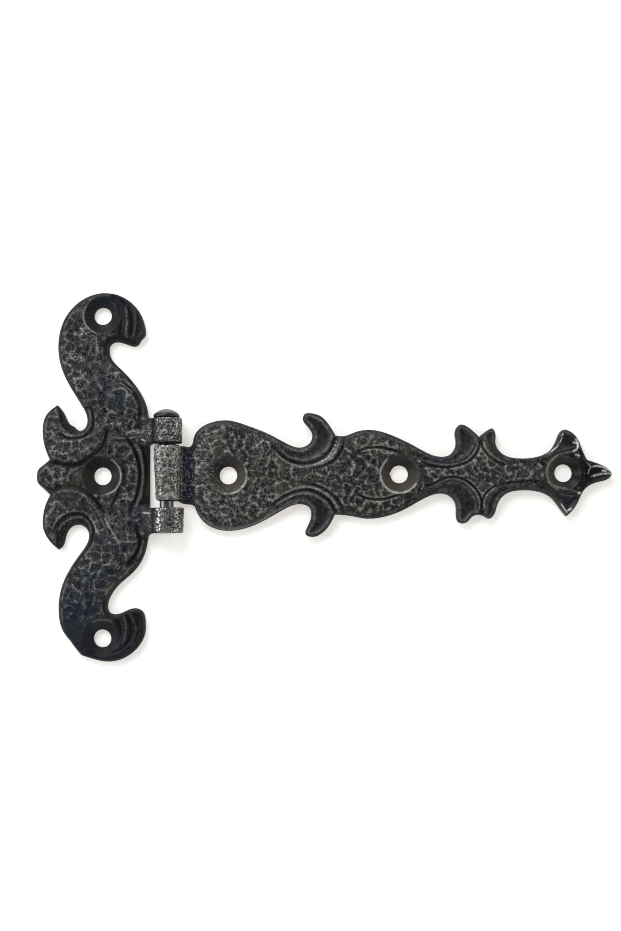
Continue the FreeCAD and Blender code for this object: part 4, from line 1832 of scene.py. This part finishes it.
STRAP_OUTLINE: tuple[Run, ...] = (
    ((25.6, 9.2),),
    ((26.6, 8.95), (27.5, 9.3), (28.1, 10.3)),
    ((28.5, 12.2), (30.5, 14.8), (34.5, 16.7), (39.5, 17.1), (44.5, 15.7), (51.5, 12.9), (57.5, 9.7),
     (61.6, 8.5), (64.6, 10), (65.3, 12.4), (63.6, 15.4), (62.4, 17.5), (63, 18.9), (64.8, 19.2), (68.3, 18),
     (70.7, 15.3), (72.6, 12.2)),
    ((75, 12), (78.6, 13.2), (83.6, 13.9), (90, 12.2), (98, 8.2), (104, 5.5), (107.9, 5.9), (110, 9.4),
     (109.8, 13.2), (111.3, 15.3), (114.1, 14.3), (117.2, 11.5)),
    ((120, 13.6), (121.3, 14.1), (122.2, 12.9), (122.3, 9.4), (124.8, 5.9), (129.5, 4.7), (134.5, 5),
     (139.5, 7.3), (141.5, 10.8), (143.4, 13.5), (146.5, 12.3), (148.7, 8.8), (149.5, 6.6), (150.7, 4.1)),
    ((154.1, 2.9), (157.4, 0.9), (158.15, -0.4), (157.3, -1.7), (153.5, -3), (149.5, -5.4), (147.8, -8.6),
     (145.7, -11.8), (144, -13.4)),
    ((142.3, -11.3), (139.3, -7.5), (135, -5.6), (129.5, -5.3), (125.3, -6.4), (122.7, -9.4), (121.4, -12.9),
     (120, -14), (118.4, -13.2), (117, -12.8)),
    ((115, -13.2), (112.6, -15.3), (110.5, -15), (109.8, -12.9), (109.6, -9.2), (107.3, -6.6), (104.5, -6.1),
     (101, -7.1), (93.5, -11.1), (87.5, -13.2), (81.5, -13.7), (76.5, -12.8), (72.2, -12.4)),
    ((70.3, -15.9), (67.1, -18.8), (64.5, -19.25), (63, -18.4), (63.5, -16.3), (64.7, -13.2), (64.4, -10.4),
     (61.5, -9.1), (56.5, -10.6), (49, -14.7), (42, -17), (35.5, -16.7), (30.5, -13.3), (28.6, -9.6)),
    ((27.6, -9.1), (26.4, -8.95), (25.2, -8.8), (24.3, -8.4), (23.6, -7.95)),
    ((20.2, -7.95),),
    ((20.2, 9.25),),
)


@dataclass
class StrapLeafDesign:
    """The long strap: round lobe, paired hooks, second lobe, paired spurs, neck and three-pointed end."""

    pin: PinLine
    neck_level: float = 2.35
    knuckle_radius: float = 4.05
    fillet: float = 1.6

    def extra(self, xy: Array) -> Array:
        """The thin hollow neck, and the swell of the two lobes and of the end.

        Args:
            xy: The points.

        Returns:
            The added heights.
        """
        x, y = xy[:, 0], xy[:, 1]
        neck = neck_rise(x, self.pin, self.knuckle_radius, self.neck_level, self.fillet, 1.0)
        drop = 1.0 * (1.0 - smoothstep(26.4, 29.6, x))
        lobes = 0.12 * np.exp(-(((x - 39.0) / 9.0) ** 2) - (y / 11.0) ** 2)
        waist = -0.28 * np.exp(-(((x - 69.0) / 9.0) ** 2)) * smoothstep(0.0, 5.0, 8.0 - np.abs(y))
        keel = 0.35 * bump(y + 0.4, 0.0, 1.5) * smoothstep(149.5, 152.5, x)
        return neck - drop + lobes + waist + keel

    def panels(self) -> tuple[Panel, ...]:
        """The smooth hollowed fields: hooks, spurs, neck bands and the three points of the end."""
        hook_up = ((49.5, 14), (51, 11.4), (54.5, 7.7), (56.3, 5.6), (59, 4.2), (62.2, 3.5), (65.4, 3.9),
                   (68.1, 5.1), (70.4, 7.1), (71.7, 9.5), (72.5, 12.3), (75, 16), (72, 23), (58, 23))
        hook_low = ((49.5, -16.5), (51, -11.6), (54, -8.3), (56.7, -6.7), (59.5, -5.4), (62.2, -4.8),
                    (65.4, -5.1), (68.1, -6.4), (70.4, -8.2), (71.7, -10.3), (72.3, -12.5), (75, -17),
                    (72, -23), (58, -23))
        spur_up = ((96, 7), (99, 5.5), (101.5, 3.6), (104.6, 3), (107.5, 2.8), (110.4, 3.2), (113.3, 4.4),
                   (115.4, 6.6), (116.5, 9.1), (116.9, 11.6), (118, 18), (100, 20), (94, 12))
        spur_low = ((96, -6.6), (99.5, -5.2), (102.5, -3.8), (105.4, -2.4), (108.3, -1.6), (111.3, -2.1),
                    (113.8, -3.8), (115.6, -5.9), (116.8, -8.7), (116.8, -12.8), (118, -18), (100, -20),
                    (94, -12))
        small_up = ((117.6, 12.2), (118.4, 10.8), (119.3, 8.1), (121.4, 5.4), (124.3, 3.6), (128, 3.3),
                    (133, 3.3), (136.5, 3.9), (139.4, 4.8), (141.6, 5.8), (144, 6.6), (147.2, 7.2),
                    (149.6, 6.4), (154, 12), (146, 18), (118, 18))
        small_low = ((117.4, -13.4), (118.6, -11.8), (118.5, -8.9), (119.8, -6.5), (122.7, -4.1), (126.5, -3),
                     (133, -2.8), (137, -3.1), (139.6, -4.2), (141.8, -5.6), (144.6, -6.2), (147.6, -6.4),
                     (149.6, -5.3), (152, -14), (146, -18), (118, -18))
        point = ((148.9, 7.2), (149.2, 4), (149.8, 1), (149.8, -2), (149.3, -5.6), (152, -9), (162, -6),
                 (162, 5), (152, 9))
        return (Panel(hook_up, 3.12, 0.55, 0.16, 1.1), Panel(hook_low, 3.12, 0.50, 0.14, 1.1),
                Panel(spur_up, 3.05, 0.42, 0.14, 0.9), Panel(spur_low, 3.05, 0.42, 0.14, 0.9),
                Panel(small_up, 3.00, 0.40, 0.16, 0.8), Panel(small_low, 3.00, 0.40, 0.14, 0.8),
                Panel(point, 2.95, 0.10, 0.05, 0.8))

    def grooves(self) -> tuple[Stroke, ...]:
        """The lines cut into the strap."""
        return (
            Stroke(((53, 8.6), (54.6, 7.3), (56.3, 5.6), (59, 4.1), (62.2, 3.4), (65.4, 3.8), (68.1, 5),
                (70.4, 7), (71.7, 9.4), (72.4, 12.2)), 0.42, 0.55, 0.12),
            Stroke(((66, 2.1), (69.6, 3), (72.6, 5), (74.6, 8), (75.1, 11.4)), 0.42, 0.26, 0.25),
            Stroke(((52.5, -9.4), (54, -8.2), (56.7, -6.6), (59.5, -5.3), (62.2, -4.7), (65.4, -5),
                (68.1, -6.3), (70.4, -8.1), (71.7, -10.2), (72.3, -12.3)), 0.42, 0.55, 0.12),
            Stroke(((63, -2.6), (67, -3.6), (71, -5.9), (73.8, -9), (74.8, -11.6)), 0.42, 0.26, 0.25),
            Stroke(((78.6, 6.4), (81.7, 8), (85, 8.35), (87.9, 8.1), (90.8, 7.3), (93.2, 6.3)), 0.34, 0.36,
                0.18),
            Stroke(((79.6, -6.3), (81.8, -7.3), (85, -7.8), (88.3, -7.5), (90.8, -6.8), (93.2, -6)), 0.34,
                0.36, 0.18),
            Stroke(((100.5, 2.9), (104.6, 2.2), (107.5, 2.1), (110.6, 2.6), (113.8, 3.9), (116.1, 6.2),
                (117.2, 8.9), (117.3, 11.6)), 0.34, 0.36, 0.15),
            Stroke(((100.5, -3.7), (102.8, -3.1), (105.4, -1.8), (108.3, -1), (111.5, -1.5), (114.3, -3.2),
                (116.4, -5.6), (117.6, -8.6), (117.6, -12.8)), 0.34, 0.34, 0.15),
            Stroke(((117.4, 10.6), (118.4, 7.7), (120.7, 4.9), (123.8, 3)), 0.32, 0.3, 0.15),
            Stroke(((117.8, -12), (117.7, -8.7), (119.2, -5.9), (122.4, -3.5)), 0.32, 0.3, 0.15),
            Stroke(((123.5, -3.5), (128, -2.6), (133, -2.4), (138, -2.9)), 0.4, 0.18, 0.25),
        )

    def beads(self) -> tuple[Stroke, ...]:
        """The thin raised lines beside the grooves, and the ridges of the end."""
        return (
            Stroke(((60, 2.5), (64, 2.75), (66.7, 3.1), (69.8, 4.5), (72.2, 6.6), (73.5, 9.4), (74, 12)), 0.4,
                -0.17, 0.2),
            Stroke(((60, -3.9), (64.5, -3.8), (67.6, -5), (70.8, -7.3), (73, -10.4), (73.7, -12.4)), 0.32,
                -0.17, 0.2),
            Stroke(((99, 4.6), (101.5, 3.6), (104.6, 3.05), (107.5, 2.85), (110.4, 3.2), (113.3, 4.4),
                (115.4, 6.6), (116.4, 9.1), (116.4, 11.4)), 0.22, -0.12, 0.1),
            Stroke(((100, -4.6), (102.5, -3.9), (105.4, -2.5), (108.3, -1.65), (111.3, -2.2), (113.8, -3.8),
                (115.6, -5.9), (116.7, -8.7), (116.6, -12.4)), 0.22, -0.12, 0.1),
            Stroke(((118.5, 11.6), (119.4, 8.1), (121.5, 5.5), (124.3, 3.7), (126, 3.2)), 0.22, -0.12, 0.1),
            Stroke(((118.9, -12.2), (118.7, -8.9), (120, -6.7), (122.7, -4.4), (125, -3.6)), 0.22, -0.12,
                0.1),
            Stroke(((139.5, -3.4), (141.1, -4.2), (143.7, -4.8), (145.9, -5.5), (147.9, -6.2)), 0.26, -0.16,
                0.15),
            Stroke(((139.5, 3.6), (140.5, 4.9), (142.1, 5.8), (144.3, 6.3), (146.3, 6.6)), 0.26, -0.14, 0.15),
            Stroke(((146.3, 6.6), (147.4, 7.4), (147.8, 8.5), (147.6, 9.3)), 0.3, -0.22, 0.15),
            Stroke(((152, 1.9), (153.6, 2.1), (155.6, 1.5), (157.3, 0.6)), 0.28, -0.34, 0.15),
            Stroke(((151.8, -1.2), (153.9, -0.5), (155.9, -0.3), (157.7, -0.3)), 0.28, -0.34, 0.15),
        )

    def bright(self) -> tuple[Stroke, ...]:
        """Bright lines and spots, most of them at the end of the strap: painted highlights on the end's
        ridges and the seats' rims, a painted reflection along the round lobe's lower edge, and scratches
        rubbed down to bright metal.
        """
        return (
            # the first four: painted highlights along the ridges of the end's point
            Stroke(((152.6, 2), (154, 2.1), (155.9, 1.4), (157.3, 0.6)), 0.15, 0.08),
            Stroke(((152.4, -1), (154, -0.5), (155.9, -0.3), (157.7, -0.3)), 0.14, 0.08),
            Stroke(((150.3, 3.3), (151, 2.6), (151.7, 1.8), (151.1, 0.9), (150.7, -0.2)), 0.1, 0.06),
            Stroke(((155.2, 0.6), (156.2, 0.5)), 0.2, 0.1),
            Stroke(((146.3, 6.7), (147.4, 7.4), (147.8, 8.5), (147.6, 9.3), (147.2, 10.4)), 0.2, 0.1),
            Stroke(((146.4, 9.5), (147.4, 9.2), (148.2, 9.8)), 0.18, 0.1),
            Stroke(((147, 5.7), (148.2, 5.3)), 0.22, 0.08),
            Stroke(((147.7, -6.3), (148.1, -6.2)), 0.26, 0.1),
            Stroke(((144.2, -11.7), (145.3, -11)), 0.2, 0.1),
            Stroke(((142.3, -9.6), (143.2, -11.2), (144, -12.2)), 0.14, 0.1),
            Stroke(((137.9, 6), (139.8, 7), (141.4, 8.4), (142.6, 10.4), (143.1, 12.2)), 0.12, 0.1),
            Stroke(((123.2, 12), (123.2, 10), (125.2, 7), (127.6, 5.9)), 0.1, 0.1),
            # painted reflection along the rounded lower edge of the round lobe
            Stroke(((29.6, -11), (31.4, -13.3), (35.6, -16.2), (42, -16.5), (49, -14.2), (56.3, -10.1),
                (60.4, -8.7)), 0.2, 0.018),
            rim_highlight_line(92.3, 0.0, 5.95, 130.0, 330.0, 0.50),
            rim_highlight_line(39.1, 0.0, 5.8, -80.0, 20.0, 0.16),
            rim_highlight_line(143.4, 0.0, 5.6, 110.0, 250.0, 0.16),
        )

    def calm(self, xy: Array) -> Array:
        """Share of the hammering kept at each point: none on the neck by the knuckle."""
        return smoothstep(28.0, 29.6, xy[:, 0])

    def leaf(self) -> CastLeaf:
        """Gather the leaf's parts."""
        sinks = (Countersink(39.1, 0.0, 1.15, bow=0.9),
                 Countersink(92.3, 0.0, 1.15, bow=0.9, nick=0.4, lit_side=-110.0, rim_glint=0.9),
                 Countersink(143.4, 0.0, 1.15, mouth=5.4, bow=0.9, bead=0.03, lit_side=180.0, rim_glint=0.5,
                             one_sided=1.0))
        relief = PlateRelief(
            Outline(STRAP_OUTLINE), edge_level=2.7, crown=0.68, crown_reach=2.4, panels=self.panels(),
            bevels=(), sinks=sinks, extra=self.extra)
        knuckle = Knuckle(-7.95, 9.5, self.knuckle_radius, low_round=1.6, high_round=0.9, swell=0.45,
                          swell_at=4.5, aside=0.3, stretch=1.035, gap_shade_low=0.25, gap_shade_high=0.2)
        iron = BlackenedIron(
            "strap_leaf_blackened_iron", dent_size=2.4, seed=11.3, veining=0.42, seat_brown=0.95,
            fineness=0.25, grain_range=(0.24, 0.82), haze_reach=0.3, hazing=0.23, pooling=0.52, sparkle=0.8,
            edge_sheen=0.25, tinting=0.35, vein_reach=0.075, crest_share=0.2, crest_from=0.12, scuffing=0.75,
            smooth_coat=(0.0095, 0.0105, 0.0140, 1.0), smooth_light=(0.056, 0.058, 0.066, 1.0),
            light_coat=(0.078, 0.075, 0.068, 1.0), brown=(0.062, 0.054, 0.038, 1.0))
        return CastLeaf(
            "strap_leaf_casting", "strap_leaf", Body.STRAP, Slot.STRAP_IRON, relief, (knuckle,),
            self.grooves(), self.beads(), self.bright(), bore=2.23, finish=iron, calm=self.calm,
            blushes=dabs((26.8, 1, 4), (26.8, -5, 3), (26.8, 6, 3), (36, -14, 5, 0.4), (66, 14, 5, 0.3),
                         (105, 8, 6, 0.3), (147, -8, 5, 0.3)),
            scuffs=dabs((31, 4, 4, 0.9), (31, -3, 4, 0.9), (33, 11, 4.5, 0.8), (36, -10, 6, 0.7),
                        (50, 8, 6, 0.5), (50, -7, 7, 0.5), (66, 0, 8, 0.4), (84, 11, 6, 0.4),
                        (80, -2, 7, 0.15), (112, 0, 9, 0.25), (131, 0, 6, 0.4), (26.8, 0, 2.2, 0.65),
                        (26.8, -5, 2, 0.65), (26.8, 5, 2, 0.65)),
            polished=dabs((150, 0, 11), (26.5, 0, 3, 0.5)),
            veined=dabs((79.5, 1, 8, -0.45), (104, 0, 9, -0.5)), grained=0.35)


# --- pin


@dataclass
class PinDesign:
    """The pin: a low domed head, a turned shank and a swaged tail."""

    pin: PinLine
    shank: float = 2.14
    head: float = 4.05
    rim: float = 0.85
    dome: float = 1.8
    tail: float = 2.5

    def profile(self) -> list[Point]:
        """Radius against y, from the tail to the top of the dome.

        Returns:
            The rows, radius first.
        """
        low, seat = self.pin.low, self.pin.high - self.rim - self.dome
        rows: list[Point] = [(0.0, low), (1.2, low), (self.tail - 0.1, low + 0.03), (self.tail, low + 0.12),
                             (self.shank, low + 0.42)]
        rows += [(self.shank, float(y)) for y in np.arange(low + 0.9, seat - 0.3, 0.5)]
        rows += [(self.shank, seat), (self.head - 0.25, seat)]
        for a in np.linspace(0.2, 0.5 * math.pi, 5):
            rows.append((self.head - 0.3 + 0.3 * math.sin(a), seat + 0.3 - 0.3 * math.cos(a)))
        rows.append((self.head, seat + self.rim * 0.7))
        sphere = (self.head ** 2 + self.dome ** 2) / (2 * self.dome)
        reach = math.asin(self.head / sphere)
        for a in np.linspace(reach, 0.0, 16):
            edge = 0.12 * math.exp(-((reach - a) * sphere / 0.35) ** 2)
            rows.append((sphere * math.sin(a) - edge, self.pin.high - sphere * (1 - math.cos(a))))
        return rows

    def build(self, skin: Tree, material: Material) -> Thing:
        """Make the finished pin.

        Args:
            skin: The tree that dents the head.
            material: The finish.

        Returns:
            The pin.
        """
        made = lathe("hinge_pin_turned", self.profile(), (self.pin.x, self.pin.z), 80)
        points = vertex_points(made.data)
        store(made.data, "hammer", 0.35 * smoothstep(self.pin.high - 2.0, self.pin.high - 1.2, points[:, 1]))
        store(made.data, "lumps", np.zeros(len(points)))
        store(made.data, "inland", np.full(len(points), 0.3))
        run_tree(made, skin, {"Dent size": 2.6, "Dent depth": 0.22, "Lump size": 1.0, "Lump depth": 0.0,
                              "Seed": 5.0, "Material": material})
        finish_piece(made, 40.0, Body.FRAME, "hinge_pin")
        return made


# --- studio


@dataclass(frozen=True)
class SoftBox:
    """One soft area light."""

    name: str
    place: tuple[float, float, float]
    size: float
    power: float
    tint: tuple[float, float, float] = (1.0, 1.0, 1.0)


@dataclass
class Studio:
    """Pale floor, soft light and the camera that looks down on the hinge."""

    centre: tuple[float, float, float] = (0.0647, 0.0030, 0.0)
    elevation: float = 87.0
    roll: float = 0.38
    lens: float = 50.0
    distance: float = 0.404
    floor_size: float = 1.3
    boxes: tuple[SoftBox, ...] = (
        SoftBox("key_far_side", (-0.28, 0.70, 0.66), 0.60, 5.8),
        SoftBox("fill_left", (-0.80, 0.05, 0.45), 0.45, 2.4, (0.95, 0.97, 1.0)),
        SoftBox("fill_right", (0.95, 0.10, 0.50), 0.45, 0.8, (1.0, 0.99, 0.97)),
        SoftBox("fill_near_side", (0.10, -0.85, 0.55), 0.45, 1.1, (1.0, 0.97, 0.93)),
    )
    sky_low: float = 1.0
    sky_top: float = 0.14
    sky_tint: Colour = (1.0, 0.985, 0.96, 1.0)
    floor_drop: float = 5e-5
    floor_colour: Colour = (0.864, 0.876, 0.905, 1.0)
    floor_roughness: float = 0.7
    floor_glow: float = 0.45
    glow_tint: Colour = (1.0, 0.96, 0.88, 1.0)

    def build(self) -> None:
        """Make the floor, the lights, the world and the camera."""
        scene = bpy.context.scene
        half = self.floor_size / 2
        corners = [(x * half, y * half, -self.floor_drop) for x, y in ((-1, -1), (1, -1), (1, 1), (-1, 1))]
        floor = mesh_object("floor", np.array(corners), [(0, 1, 2, 3)])
        pale = bpy.data.materials.new("pale_floor")
        pale.use_nodes = True
        surface = pale.node_tree.nodes["Principled BSDF"]
        for socket, value in (("Base Color", self.floor_colour), ("Roughness", self.floor_roughness),
                              ("Emission Color", self.glow_tint), ("Emission Strength", self.floor_glow)):
            surface.inputs[socket].default_value = value
        floor.data.materials.append(pale)
        world = bpy.data.worlds.new("studio")
        world.use_nodes = True
        background = world.node_tree.nodes["Background"]
        background.inputs["Color"].default_value = self.sky_tint
        air = Wiring(world.node_tree)
        bearing = air.node("ShaderNodeTexCoord").outputs["Generated"]
        up = air.node("ShaderNodeSeparateXYZ", {0: bearing}).outputs[2]
        air.feed(background.inputs["Strength"], air.ramp(up, 0.15, 0.85, self.sky_low, self.sky_top))
        scene.world = world
        scene.view_settings.view_transform = "Standard"
        scene.cycles.filter_width = 1.0
        target = Vector(self.centre)
        for box in self.boxes:
            light = bpy.data.lights.new(box.name, "AREA")
            light.shape = "DISK"
            light.size = box.size
            light.energy = box.power
            light.color = box.tint
            made = bpy.data.objects.new(box.name, light)
            made.location = box.place
            made.rotation_euler = (target - Vector(box.place)).to_track_quat("-Z", "Y").to_euler()
            scene.collection.objects.link(made)
        lens = bpy.data.cameras.new("camera")
        lens.lens = self.lens
        lens.sensor_width = 36.0
        lens.dof.use_dof = False
        lens.clip_start = 0.01
        camera = bpy.data.objects.new("camera", lens)
        angle = math.radians(self.elevation)
        back = Vector((0.0, -math.cos(angle), math.sin(angle)))
        camera.location = target + back * self.distance
        roll = Matrix.Rotation(math.radians(-self.roll), 3, "Z")
        camera.rotation_euler = ((-back).to_track_quat("-Z", "Y").to_matrix() @ roll).to_euler()
        scene.collection.objects.link(camera)
        scene.camera = camera


def write_sizes() -> None:
    """Update the view layer."""
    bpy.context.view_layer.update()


def main() -> None:
    """Build the hinge, piece by piece, and the studio round it."""
    logging.basicConfig(level=logging.INFO, format="%(name)s %(message)s")
    pin = PinLine.from_frame()
    groups = SharedGroups()
    lines, skin = chased_line_tree(), hammer_tree()
    pin_steel = PinSteel("hinge_pin_steel").build(groups)
    FrameLeafDesign(pin).leaf().build(pin, lines, skin, groups)
    StrapLeafDesign(pin).leaf().build(pin, lines, skin, groups)
    PinDesign(pin).build(skin, pin_steel)
    Studio().build()
    write_sizes()


if __name__ == "__main__":
    main()
